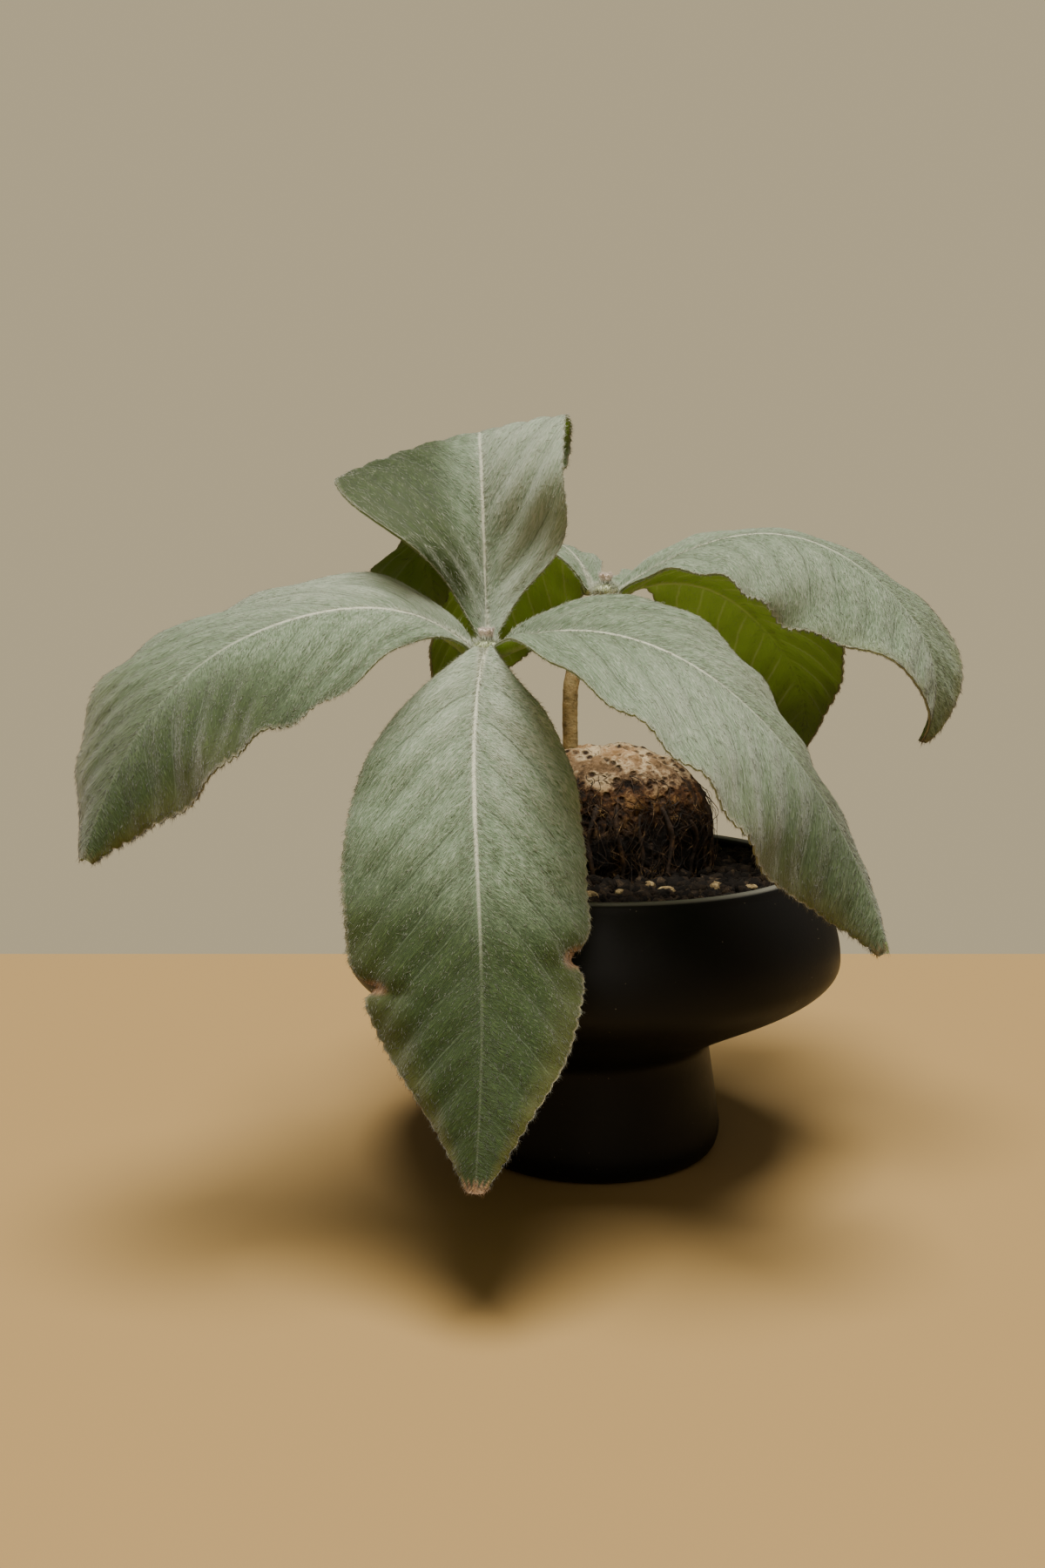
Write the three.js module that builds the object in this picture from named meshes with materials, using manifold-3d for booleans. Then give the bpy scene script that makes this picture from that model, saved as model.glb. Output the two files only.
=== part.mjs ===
// Potted brazilian edelweiss: a woolly-leaved caudex plant in a black ceramic pedestal bowl.
// Millimetres, +Z up. The origin is the centre of the pot's flat base, and the front faces -Y.
import * as THREE from "three";
import { mergeVertices } from "three/addons/utils/BufferGeometryUtils.js";
import Module from "manifold-3d";

const wasm = await Module();
wasm.setup();

// Pot
const POT_RADIUS = 75; // widest, a 150 mm bowl
const POT_WIDEST_Z = 61.5;
const POT_HEIGHT = 89.5;
const RIM_RADIUS = 65.4;
const FOOT_RADIUS = 39.6; // widest of the foot, just over its rounded edge
const FOOT_EDGE = 6; // height of the rounded bottom edge
const NECK_RADIUS = 36; // where the foot meets the bowl
const NECK_Z = 34.5;
const WALL = 4.6;
const FLOOR = 6;
const POT_SIDES = 44;

// Soil
const SOIL_Z = 84; // at the wall
const SOIL_MOUND = 1.6; // higher round the caudex
const SOIL_RINGS = 8;
const SOIL_SIDES = 30;
const GRIT_COUNT = 36;
const GAP = 0.3; // between touching pieces

// Caudex: centre, half sizes and the roots on its lower half
const CAUDEX = new THREE.Vector3(4, 6, 97);
const CAUDEX_HALF = new THREE.Vector3(32, 24, 26.5);
const CAUDEX_BURIED = 23; // below its centre
const CAUDEX_SQUARE_ABOVE = 2.3; // 2 is an ellipsoid, higher is boxier
const CAUDEX_SQUARE_BELOW = 5;
const ROOT_COUNT = 20;
const ROOT_RADIUS = 0.8;

// Stems
const STEM_RADIUS = 2.35;
const HUB_RADIUS = 4;
const HUB_FLATNESS = 0.6; // its height over its width
const FRONT_HUB = new THREE.Vector3(-31.7, -40, 155.6);
const REAR_HUB = new THREE.Vector3(4.4, 22, 170.8);
const FRONT_STEM = [
  new THREE.Vector3(-13.5, -9, 115),
  new THREE.Vector3(-15.5, -13, 126),
  new THREE.Vector3(-21, -22, 138),
  new THREE.Vector3(-28.5, -34, 149),
  FRONT_HUB,
];
const REAR_STEM = [
  new THREE.Vector3(-6.5, 9, 117),
  new THREE.Vector3(-7, 10, 130),
  new THREE.Vector3(-6.5, 11.5, 143),
  new THREE.Vector3(-2, 16, 158),
  REAR_HUB,
];

// Leaves. Along a leaf, each list runs from its base to its tip in equal steps, in degrees:
// heading turns from +X towards +Y, pitch is above level, roll lifts the leaf's left side,
// fold lifts both halves at the midrib, and curl bends each half on from there to its margin.
const BLADE_OUTLINE = [0.08, 0.34, 0.64, 0.85, 0.96, 1, 0.97, 0.87, 0.68, 0.38, 0.07];
const BLADE_SKIN = 0.45; // half the blade's thickness
const RIB_DEPTH = 1.7; // the midrib's ridge under the blade at its base
const TOOTH_PITCH = 5;
const TOOTH_DEPTH = 0.9;
const TOOTH_START = 0.36; // share of the length where the teeth begin
const LEAVES = [
  {
    name: "leaf_front_left",
    hub: FRONT_HUB,
    start: 200,
    length: 138,
    half: [32, 32],
    pitch: [40, 0, -24, -53, -72],
    heading: [210, 211, 218],
    roll: [-40, -26, -19, -24],
    fold: [27, 3, -1, -18],
    curl: [-14, -40, -14, -28],
    sweep: 0.3,
    wave: [1.2, 6],
  },
  {
    name: "leaf_front_near",
    hub: FRONT_HUB,
    start: 266,
    length: 148,
    half: [31, 34],
    pitch: [-38, -49, -57, -59, -71],
    heading: [-99, -84, -99],
    roll: [7, -4, -6, 8],
    fold: [35, 5, -6, -6],
    curl: [-13, -26, -21, -19],
    sweep: -0.1,
    wave: [0.9, 7],
    nicks: [
      { side: -1, at: 0.665, depth: 4.6, width: 0.028 },
      { side: 1, at: 0.625, depth: 4, width: 0.024 },
    ],
  },
  {
    name: "leaf_front_right",
    hub: FRONT_HUB,
    start: -28,
    length: 151,
    half: [30.5, 32.5],
    pitch: [20, -5, -36, -57, -72],
    heading: [-54, -24, -35],
    roll: [29, 16, 7, 24],
    fold: [36, 9, -11, -33],
    curl: [-12, -28, -16, -32],
    sweep: 0.18,
    wave: [1, 7],
  },
  {
    name: "leaf_front_back",
    hub: FRONT_HUB,
    start: 84,
    clear: 1.7,
    length: 152,
    half: [42.5, 26.5],
    outline: [0.08, 0.43, 0.89, 0.98, 0.98, 1.03, 0.97, 0.87, 0.68, 0.38, 0.07],
    pitch: [45, 79, 65, 2, -129, -147, -73],
    heading: [98, 96, 89, 42, 160],
    roll: [-1, 12, -19, -12, 0, 20, 36],
    fold: [59, 30, 2, 4, 9],
    curl: [-27, -8, -16, 21, -5],
    sweep: 0.04,
    wave: [0.8, 7],
  },
  {
    name: "leaf_rear_right",
    hub: REAR_HUB,
    start: -20,
    clear: 0.9,
    length: 140,
    half: [31.5, 32],
    pitch: [38, 14, -26, -58, -118],
    heading: [-10, -24, -24],
    roll: [20, 15, 22, 14],
    fold: [24, -3, -11, 24],
    curl: [-15, -21, -28, 4],
    sweep: -0.15,
    wave: [1.2, 6],
  },
  {
    name: "leaf_rear_back",
    hub: REAR_HUB,
    start: 55,
    length: 144,
    half: [31, 31],
    pitch: [17, -4, -26, -47, -112],
    heading: [46, 46, 39],
    roll: [-5, -6, -6, -3],
    fold: [32, 14, 3, -10],
    curl: [-15, -23, -19, -22],
    sweep: 0,
    wave: [1.2, 6],
  },
  {
    name: "leaf_rear_left",
    hub: REAR_HUB,
    start: 140,
    clear: 1.4,
    length: 134,
    half: [30, 30],
    pitch: [60, 2, -35, -64, -89],
    heading: [119, 125, 132],
    roll: [14, 12, 1, -3],
    fold: [21, -7, -17, -7],
    curl: [-20, -26, -25, -21],
    sweep: 0,
    wave: [1.2, 6],
  },
];

// Finishes: colour, roughness, metalness
const LEAF = { color: 0x9aa893, roughness: 0.85, metalness: 0 };
const WOOL = { color: 0xd8cfc2, roughness: 0.95, metalness: 0 };
const STEM_BARK = { color: 0x9c8253, roughness: 0.8, metalness: 0 };
const CORK = { color: 0xa58c66, roughness: 0.85, metalness: 0 };
const GRIT = { color: 0x1e1a17, roughness: 0.95, metalness: 0 };
const CERAMIC = { color: 0x151414, roughness: 0.42, metalness: 0 };

const part = new THREE.Group();
part.name = "potted_brazilian_edelweiss";

function addMesh(name, geometry, finish) {
  const mesh = new THREE.Mesh(geometry, new THREE.MeshStandardMaterial(finish));
  mesh.name = name;
  part.add(mesh);
}

// The same draws on every run.
function seeded(seed) {
  let state = seed;
  return () => {
    state = (state * 1664525 + 1013904223) % 4294967296;
    return state / 4294967296;
  };
}

const radians = THREE.MathUtils.degToRad;

// A smooth curve through values that stand at equal steps from t = 0 to t = 1.
function along(values, t) {
  const last = values.length - 1;
  const x = THREE.MathUtils.clamp(t, 0, 1) * last;
  const i = Math.min(Math.floor(x), last - 1);
  const f = x - i;
  const b = values[i];
  const c = values[i + 1];
  const a = i > 0 ? values[i - 1] : 2 * b - c;
  const d = i + 2 <= last ? values[i + 2] : 2 * c - b;
  return b + 0.5 * f * (c - a + f * (2 * a - 5 * b + 4 * c - d + f * (3 * (b - c) + d - a)));
}

// Closed meshes as solids that can be joined and cut, and back again.
function toSolid(geometry) {
  const bare = geometry.clone();
  bare.deleteAttribute("normal");
  bare.deleteAttribute("uv");
  const merged = mergeVertices(bare, 1e-4);
  const vertProperties = new Float32Array(merged.attributes.position.array);
  const triVerts = new Uint32Array(merged.index.array);
  return new wasm.Manifold(new wasm.Mesh({ numProp: 3, vertProperties, triVerts }));
}

function toGeometry(solid) {
  const pieces = solid.decompose();
  pieces.sort((a, b) => b.volume() - a.volume());
  const mesh = pieces[0].getMesh();
  const geometry = new THREE.BufferGeometry();
  geometry.setAttribute("position", new THREE.BufferAttribute(mesh.vertProperties, 3));
  geometry.setIndex(new THREE.BufferAttribute(mesh.triVerts, 1));
  return geometry;
}

function joinAll(solids) {
  return solids.reduce((sum, solid) => sum.add(solid));
}

function lathe(points, sides) {
  const geometry = new THREE.LatheGeometry(points, sides);
  geometry.rotateX(Math.PI / 2);
  return geometry;
}

// Pot

function outerProfile() {
  const path = new THREE.Path();
  path.moveTo(0, 0);
  path.lineTo(FOOT_RADIUS - FOOT_EDGE, 0);
  path.bezierCurveTo(FOOT_RADIUS - 2, 0, FOOT_RADIUS, 2.5, FOOT_RADIUS, FOOT_EDGE + 2);
  path.lineTo(NECK_RADIUS, NECK_Z - 2);
  path.quadraticCurveTo(NECK_RADIUS, NECK_Z + 1, NECK_RADIUS + 3.5, NECK_Z + 2.6);
  path.bezierCurveTo(POT_RADIUS - 20, 46.5, POT_RADIUS, 52.5, POT_RADIUS, POT_WIDEST_Z);
  path.bezierCurveTo(POT_RADIUS, 72, RIM_RADIUS + 4, 81, RIM_RADIUS, POT_HEIGHT - 2);
  return path;
}

function innerProfile() {
  const inside = POT_RADIUS - WALL;
  const path = new THREE.Path();
  path.moveTo(RIM_RADIUS - WALL + 0.4, POT_HEIGHT - 2);
  path.bezierCurveTo(RIM_RADIUS, 81, inside, 72, inside, POT_WIDEST_Z);
  path.bezierCurveTo(inside, 55.5, inside - 20, 51, NECK_RADIUS - 1, NECK_Z + 6.5);
  path.quadraticCurveTo(NECK_RADIUS - WALL, NECK_Z + 4.5, NECK_RADIUS - WALL, NECK_Z);
  path.lineTo(FOOT_RADIUS - WALL - 1, FLOOR + 5);
  path.quadraticCurveTo(FOOT_RADIUS - WALL - 1, FLOOR, FOOT_RADIUS - WALL - 6, FLOOR);
  path.lineTo(0, FLOOR);
  return path;
}

function buildPot() {
  const lip = new THREE.Path();
  const inner = RIM_RADIUS - WALL + 0.4;
  const shoulder = POT_HEIGHT - 2;
  const crown = POT_HEIGHT + 0.6;
  lip.moveTo(RIM_RADIUS, shoulder);
  lip.bezierCurveTo(RIM_RADIUS - 0.6, crown, inner + 0.4, crown, inner, shoulder);
  const points = [
    ...outerProfile().getPoints(4),
    ...lip.getPoints(3).slice(1),
    ...innerProfile().getPoints(3).slice(1),
  ];
  addMesh("pot", lathe(points, POT_SIDES), CERAMIC);
}

// Soil

function soilHeight(x, y) {
  const reach = Math.hypot(x - CAUDEX.x, y - CAUDEX.y);
  const mound = SOIL_MOUND * Math.exp(-((reach / 42) ** 2));
  const grain = Math.sin(x * 1.31 + 2 * Math.sin(y * 0.53)) * Math.sin(y * 1.17 + 1.7 * Math.sin(x * 0.61));
  return SOIL_Z + mound + 0.55 * grain;
}

// The pot's inside, drawn in by the gap and cut off at the soil's level.
function soilProfile() {
  const inside = innerProfile().getPoints(3).reverse();
  const points = [];
  let wallRadius = 0;
  inside.forEach((point, i) => {
    const before = inside[Math.max(i - 1, 0)];
    const after = inside[Math.min(i + 1, inside.length - 1)];
    const run = new THREE.Vector2().subVectors(after, before).normalize();
    const shifted = new THREE.Vector2(point.x - run.y * GAP, point.y + run.x * GAP);
    if (i === 0) {
      shifted.x = 0;
    }
    const below = points[points.length - 1];
    if (shifted.y < SOIL_Z) {
      points.push(shifted);
    } else if (below.y < SOIL_Z) {
      wallRadius = below.x + ((SOIL_Z - below.y) * (shifted.x - below.x)) / (shifted.y - below.y);
      points.push(new THREE.Vector2(wallRadius, SOIL_Z));
    }
  });
  for (let i = 1; i <= SOIL_RINGS; i += 1) {
    points.push(new THREE.Vector2(wallRadius * (1 - i / SOIL_RINGS), SOIL_Z));
  }
  points[points.length - 1].x = 0;
  return { points, wallRadius };
}

function buildSoil(caudexHole) {
  const { points, wallRadius } = soilProfile();
  const geometry = lathe(points, SOIL_SIDES);
  const position = geometry.attributes.position;
  for (let i = 0; i < position.count; i += 1) {
    const x = position.getX(i);
    const y = position.getY(i);
    const onTop = position.getZ(i) > SOIL_Z - 0.01 && Math.hypot(x, y) < wallRadius - 1;
    if (onTop) {
      position.setZ(i, soilHeight(x, y));
    }
  }
  const draw = seeded(11);
  const grit = [];
  for (let i = 0; i < GRIT_COUNT; i += 1) {
    const size = 1.3 + 1.3 * draw();
    const reach = (wallRadius - 4) * Math.sqrt(draw());
    const turn = 2 * Math.PI * draw();
    const x = reach * Math.cos(turn);
    const y = reach * Math.sin(turn);
    const grain = new THREE.IcosahedronGeometry(size, 0);
    grain.scale(1, 0.8 + 0.3 * draw(), 0.6 + 0.2 * draw());
    grain.rotateX(0.5 * draw());
    grain.rotateZ(turn + i);
    grain.translate(x, y, soilHeight(x, y) + 0.25 * size);
    grit.push(toSolid(grain));
  }
  const soil = joinAll([toSolid(geometry), ...grit]).subtract(caudexHole);
  addMesh("soil", toGeometry(soil), GRIT);
}

// Caudex

// Distance from the caudex's centre to its skin in a direction.
function caudexReach(direction) {
  const half = CAUDEX_HALF;
  const depth = direction.z > 0 ? half.z : CAUDEX_BURIED;
  const power = direction.z > 0 ? CAUDEX_SQUARE_ABOVE : CAUDEX_SQUARE_BELOW;
  const level = Math.hypot(direction.x / half.x, direction.y / half.y);
  const plain = (level ** power + Math.abs(direction.z / depth) ** power) ** (-1 / power);
  const turn = Math.atan2(direction.y, direction.x);
  const across = direction.x * 0.45 + direction.y * 0.9;
  const top = Math.max(direction.z, 0);
  const groove = -0.085 * top * Math.exp(-(((across - 0.16) / 0.1) ** 2));
  const backLobe = 0.05 * top * Math.exp(-(((across - 0.4) / 0.25) ** 2));
  const swell = 0.022 * Math.sin(3 * turn + 4 * direction.z + 1);
  const lumps = 0.016 * Math.sin(7 * turn - 5 * direction.z);
  return plain * (1 + groove + backLobe + swell + lumps);
}

function caudexPoint(direction, lift) {
  return direction.clone().multiplyScalar(caudexReach(direction) + lift).add(CAUDEX);
}

// The direction whose skin point has the given turn about the centre and height.
function caudexDirection(turn, z) {
  let low = -1.2;
  let high = 1.4;
  const direction = new THREE.Vector3();
  for (let i = 0; i < 24; i += 1) {
    const tilt = (low + high) / 2;
    direction.set(Math.cos(turn) * Math.cos(tilt), Math.sin(turn) * Math.cos(tilt), Math.sin(tilt));
    if (direction.z * caudexReach(direction) + CAUDEX.z < z) {
      low = tilt;
    } else {
      high = tilt;
    }
  }
  return direction;
}

function tube(points, radius, sides, steps) {
  const shape = new THREE.Shape();
  for (let i = 0; i < sides; i += 1) {
    const turn = (2 * Math.PI * i) / sides;
    const x = radius * Math.cos(turn);
    const y = radius * Math.sin(turn);
    if (i === 0) {
      shape.moveTo(x, y);
    } else {
      shape.lineTo(x, y);
    }
  }
  shape.closePath();
  const extrudePath = new THREE.CatmullRomCurve3(points);
  return new THREE.ExtrudeGeometry(shape, { steps, extrudePath, bevelEnabled: false });
}

function rootStrand(index, grow) {
  const draw = seeded(500 + 37 * index);
  const turn = (2 * Math.PI * (index + 0.5 * draw())) / ROOT_COUNT;
  const top = 103 + 9 * draw();
  const bottom = SOIL_Z - 1 + 3 * draw();
  const sway = 0.16 * (draw() - 0.5);
  const radius = ROOT_RADIUS * (0.8 + 0.5 * draw());
  const points = [];
  for (let i = 0; i <= 4; i += 1) {
    const t = i / 4;
    const z = top + (bottom - top) * t;
    const wander = sway * t + 0.035 * Math.sin(7 * t + index);
    const lift = (t === 0 ? -1 : 0.15) * radius + 0.8 * t * t * draw();
    points.push(caudexPoint(caudexDirection(turn + wander, z), lift));
  }
  return toSolid(tube(points, radius + grow, 4, 5));
}

// The whole caudex with its roots, thickened all round by grow.
function caudexSolid(grow) {
  const geometry = new THREE.SphereGeometry(1, 28, 16);
  geometry.rotateX(Math.PI / 2);
  const position = geometry.attributes.position;
  for (let i = 0; i < position.count; i += 1) {
    const direction = new THREE.Vector3().fromBufferAttribute(position, i).normalize();
    const point = caudexPoint(direction, grow);
    position.setXYZ(i, point.x, point.y, point.z);
  }
  const roots = [];
  for (let i = 0; i < ROOT_COUNT; i += 1) {
    roots.push(rootStrand(i, grow));
  }
  return joinAll([toSolid(geometry), ...roots]);
}

// Stems

function stemSolid(points, grow) {
  const shaft = toSolid(tube(points, STEM_RADIUS + grow, 9, 12));
  const knuckle = new THREE.SphereGeometry(HUB_RADIUS + grow, 12, 8);
  knuckle.scale(1, 1, HUB_FLATNESS);
  const end = points[points.length - 1];
  knuckle.translate(end.x, end.y, end.z);
  return shaft.add(toSolid(knuckle));
}

// The dried base of a leaf that fell off, just under the rear whorl.
function driedStub() {
  const turn = radians(238);
  const from = REAR_HUB.clone().add(new THREE.Vector3(0, 0, -3.5));
  const out = new THREE.Vector3(Math.cos(turn), Math.sin(turn), -0.15);
  const points = [0, 2.5, 5.5].map((reach) => from.clone().addScaledVector(out, reach));
  return toSolid(tube(points, 1.7, 6, 3));
}

// A tight woolly growing tip: small folded leaf scales round a dome.
function budSolid(hub) {
  const dome = new THREE.SphereGeometry(1.8, 8, 6);
  dome.scale(1, 1, 0.7);
  const scales = [];
  for (let i = 0; i < 6; i += 1) {
    const turn = (Math.PI * i) / 3;
    const scale = new THREE.SphereGeometry(1, 5, 4);
    scale.scale(0.6, 0.85, 1.2);
    scale.rotateY(0.5);
    scale.translate(1.2, 0, 0.4);
    scale.rotateZ(turn);
    scales.push(toSolid(scale));
  }
  const middle = hub.z + HUB_FLATNESS * HUB_RADIUS + GAP + 1.26;
  return joinAll([toSolid(dome), ...scales]).translate([hub.x, hub.y, middle]);
}

// Leaves

class Blade {
  constructor(leaf) {
    this.leaf = leaf;
    this.steps = 80;
    const turn = radians(leaf.start);
    const reach = HUB_RADIUS + (leaf.clear ?? 0.5);
    const away = new THREE.Vector3(Math.cos(turn), Math.sin(turn), 0);
    this.rib = [leaf.hub.clone().addScaledVector(away, reach)];
    for (let i = 0; i < this.steps; i += 1) {
      const ahead = this.frame((i + 0.5) / this.steps).ahead;
      this.rib.push(this.rib[i].clone().addScaledVector(ahead, leaf.length / this.steps));
    }
  }

  frame(t) {
    const heading = radians(along(this.leaf.heading, t));
    const pitch = radians(along(this.leaf.pitch, t));
    const roll = radians(along(this.leaf.roll, t));
    const ahead = new THREE.Vector3(
      Math.cos(pitch) * Math.cos(heading),
      Math.cos(pitch) * Math.sin(heading),
      Math.sin(pitch),
    );
    const level = new THREE.Vector3(-Math.sin(heading), Math.cos(heading), 0);
    const over = new THREE.Vector3().crossVectors(ahead, level);
    const left = level.clone().multiplyScalar(Math.cos(roll)).addScaledVector(over, Math.sin(roll));
    const up = over.clone().multiplyScalar(Math.cos(roll)).addScaledVector(level, -Math.sin(roll));
    return { ahead, left, up };
  }

  ribPoint(t) {
    const x = THREE.MathUtils.clamp(t, 0, 1) * this.steps;
    const i = Math.min(Math.floor(x), this.steps - 1);
    return this.rib[i].clone().lerp(this.rib[i + 1], x - i);
  }

  halfWidth(t, side) {
    return along(this.leaf.outline ?? BLADE_OUTLINE, t) * this.leaf.half[side > 0 ? 0 : 1];
  }

  // A point of the blade's middle layer: t along, share from the midrib to the margin.
  point(t, share, side) {
    const { leaf } = this;
    const { ahead, left, up } = this.frame(t);
    const width = this.halfWidth(t, side);
    const fold = radians(along(leaf.fold, t));
    const curl = Math.min(radians(along(leaf.curl, t)), -1e-4);
    const bend = curl * share;
    const out = ((Math.sin(fold + bend) - Math.sin(fold)) / curl) * width;
    const rise = ((Math.cos(fold) - Math.cos(fold + bend)) / curl) * width;
    const [height, waves] = leaf.wave;
    const beat = 2 * Math.PI * waves * t + (side > 0 ? 0 : 2);
    const ripple = height * share * share * Math.sin(beat) * Math.sin(Math.PI * t);
    return this.ribPoint(t)
      .addScaledVector(left, side * out)
      .addScaledVector(up, rise + ripple)
      .addScaledVector(ahead, leaf.sweep * share * share * width);
  }

  normal(t, share, side) {
    const d = 0.004;
    const along0 = this.point(Math.max(t - d, 0), share, side);
    const along1 = this.point(Math.min(t + d, 1), share, side);
    const across = this.point(t, share + 0.02, side).sub(this.point(t, Math.max(share - 0.02, 0), side));
    return along1.sub(along0).cross(across).multiplyScalar(side).normalize();
  }

  // How far out the margin stands at t: full at a tooth's tip, less between teeth and in a nick.
  marginShare(t, tip, side) {
    const width = this.halfWidth(t, side);
    let cut = tip ? 0 : Math.min(TOOTH_DEPTH, 0.1 * width);
    for (const nick of this.leaf.nicks ?? []) {
      if (nick.side === side) {
        cut = Math.max(cut, nick.depth * Math.exp(-(((t - nick.at) / nick.width) ** 2)));
      }
    }
    return 1 - cut / width;
  }

  // The margin's stations: plain near the base, then a tip and a notch for each tooth.
  marginStations(side) {
    const { length } = this.leaf;
    const plain = Math.round((TOOTH_START * length) / TOOTH_PITCH);
    const teeth = Math.round(((1 - TOOTH_START) * length) / TOOTH_PITCH);
    const stations = [];
    for (let i = 0; i < plain; i += 1) {
      const t = (TOOTH_START * i) / plain;
      stations.push([t, this.marginShare(t, true, side)]);
    }
    for (let i = 0; i < teeth; i += 1) {
      const notch = TOOTH_START + ((1 - TOOTH_START) * i) / teeth;
      const tip = notch + (0.68 * (1 - TOOTH_START)) / teeth;
      stations.push([notch, this.marginShare(notch, false, side)]);
      stations.push([tip, this.marginShare(tip, true, side)]);
    }
    stations.push([1, 1]);
    return stations;
  }

  geometry() {
    const rows = 18;
    const shares = [0, 0.38, 0.74];
    const upper = [];
    const lower = [];
    const faces = [];
    const place = (t, share, side) => {
      const middle = this.point(t, share, side);
      const normal = share === 0 ? this.frame(t).up : this.normal(t, share, side);
      const rib = RIB_DEPTH * (1 - 0.85 * t) * Math.max(1 - 2.6 * share, 0);
      upper.push(middle.clone().addScaledVector(normal, BLADE_SKIN));
      lower.push(middle.clone().addScaledVector(normal, -BLADE_SKIN - rib));
      return { t, id: upper.length - 1 };
    };
    // Joins two rows of places whose stations need not match.
    const stitch = (inner, outer, side) => {
      let i = 0;
      let j = 0;
      while (i < inner.length - 1 || j < outer.length - 1) {
        const nextInner = i < inner.length - 1 ? inner[i + 1].t : Infinity;
        const nextOuter = j < outer.length - 1 ? outer[j + 1].t : Infinity;
        const corners = [inner[i].id];
        if (nextInner <= nextOuter) {
          i += 1;
          corners.push(inner[i].id, outer[j].id);
        } else {
          j += 1;
          corners.push(outer[j].id, outer[j - 1].id);
        }
        faces.push(side > 0 ? corners : corners.reverse());
      }
    };
    const spine = [];
    for (let i = 0; i <= rows; i += 1) {
      spine.push(place(i / rows, 0, 1));
    }
    for (const side of [1, -1]) {
      let inner = spine;
      for (const share of shares.slice(1)) {
        const outer = spine.map(({ t }) => place(t, share, side));
        stitch(inner, outer, side);
        inner = outer;
      }
      const margin = this.marginStations(side).map(([t, share]) => place(t, share, side));
      stitch(inner, margin, side);
    }
    return closedSheet(upper, lower, faces);
  }
}

// Two like faces and the wall round their common edge.
function closedSheet(upper, lower, faces) {
  const count = upper.length;
  const index = [];
  const open = new Map();
  for (const [a, b, c] of faces) {
    index.push(a, b, c, count + c, count + b, count + a);
    for (const [from, to] of [[a, b], [b, c], [c, a]]) {
      const back = `${to}_${from}`;
      if (open.has(back)) {
        open.delete(back);
      } else {
        open.set(`${from}_${to}`, [from, to]);
      }
    }
  }
  for (const [from, to] of open.values()) {
    index.push(to, from, count + from, to, count + from, count + to);
  }
  const geometry = new THREE.BufferGeometry();
  geometry.setFromPoints([...upper, ...lower]);
  geometry.setIndex(index);
  return geometry;
}

// Assembly

buildPot();
buildSoil(caudexSolid(GAP));
const sockets = joinAll([stemSolid(FRONT_STEM, GAP), stemSolid(REAR_STEM, GAP)]);
addMesh("caudex", toGeometry(caudexSolid(0).subtract(sockets)), CORK);
addMesh("stem_front", toGeometry(stemSolid(FRONT_STEM, 0)), STEM_BARK);
addMesh("stem_rear", toGeometry(stemSolid(REAR_STEM, 0).add(driedStub())), STEM_BARK);
addMesh("bud_front", toGeometry(budSolid(FRONT_HUB)), WOOL);
addMesh("bud_rear", toGeometry(budSolid(REAR_HUB)), WOOL);
for (const leaf of LEAVES) {
  addMesh(leaf.name, new Blade(leaf).geometry(), LEAF);
}

export default part;
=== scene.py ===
"""Looks of a potted brazilian edelweiss: woolly silver leaves over a corky caudex in a black bowl.

Sizes are millimetres until a mesh is made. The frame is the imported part's own: the origin is the
centre of the pot's flat base, +Z is up and the front faces -Y.
"""

import logging
import math
from collections.abc import Callable
from dataclasses import dataclass
from enum import Enum, auto
from functools import partial, reduce

import bpy
import numpy as np
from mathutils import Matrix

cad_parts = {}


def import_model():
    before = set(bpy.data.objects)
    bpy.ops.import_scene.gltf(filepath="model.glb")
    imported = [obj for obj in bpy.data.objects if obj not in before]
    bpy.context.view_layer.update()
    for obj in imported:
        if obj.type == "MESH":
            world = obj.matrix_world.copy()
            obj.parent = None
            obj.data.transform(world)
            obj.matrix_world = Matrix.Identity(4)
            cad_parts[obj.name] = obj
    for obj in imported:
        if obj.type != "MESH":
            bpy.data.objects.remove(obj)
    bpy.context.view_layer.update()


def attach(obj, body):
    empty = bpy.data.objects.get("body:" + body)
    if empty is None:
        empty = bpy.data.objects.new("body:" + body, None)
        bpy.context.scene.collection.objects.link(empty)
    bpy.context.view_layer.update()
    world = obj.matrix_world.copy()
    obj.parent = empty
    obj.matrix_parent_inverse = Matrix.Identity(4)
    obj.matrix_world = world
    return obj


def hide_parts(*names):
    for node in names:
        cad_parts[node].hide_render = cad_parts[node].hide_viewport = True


LOG = logging.getLogger("edelweiss")
MM = 0.001
METRE = 1000.0  # in mm: over a size in mm it gives a pattern's scale
GAP = 0.3  # air between touching pieces
TURN = 2 * math.pi

Point = tuple[float, float, float]
Body = tuple[np.ndarray, list[np.ndarray]]  # points, and arrays of the faces' corner numbers
Stops = tuple[tuple[float, int], ...]  # places and hex colours of a colour ramp
Socket = bpy.types.NodeSocket
Material = bpy.types.Material


class Side(Enum):
    """The two halves of a leaf, seen from its base towards its tip with the upper face up."""

    LEFT = 1
    RIGHT = -1


class Face(Enum):
    """The two faces of a leaf."""

    UPPER = 1
    LOWER = -1


class Zone(Enum):
    """Where on a leaf a kind of hair grows."""

    BLADE = auto()
    LEFT_MARGIN = auto()
    RIGHT_MARGIN = auto()
    MIDRIB = auto()


# Numbers and curves


def linear(hex_value: int) -> tuple[float, float, float, float]:
    """Turn an sRGB hex colour to the linear colour that a shader takes.

    Args:
        hex_value: The colour as 0xRRGGBB.

    Returns:
        Linear red, green and blue, and an alpha of 1.
    """
    parts = [((hex_value >> shift) & 255) / 255 for shift in (16, 8, 0)]
    light = [p / 12.92 if p <= 0.04045 else ((p + 0.055) / 1.055) ** 2.4 for p in parts]
    return (*light, 1.0)


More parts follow.
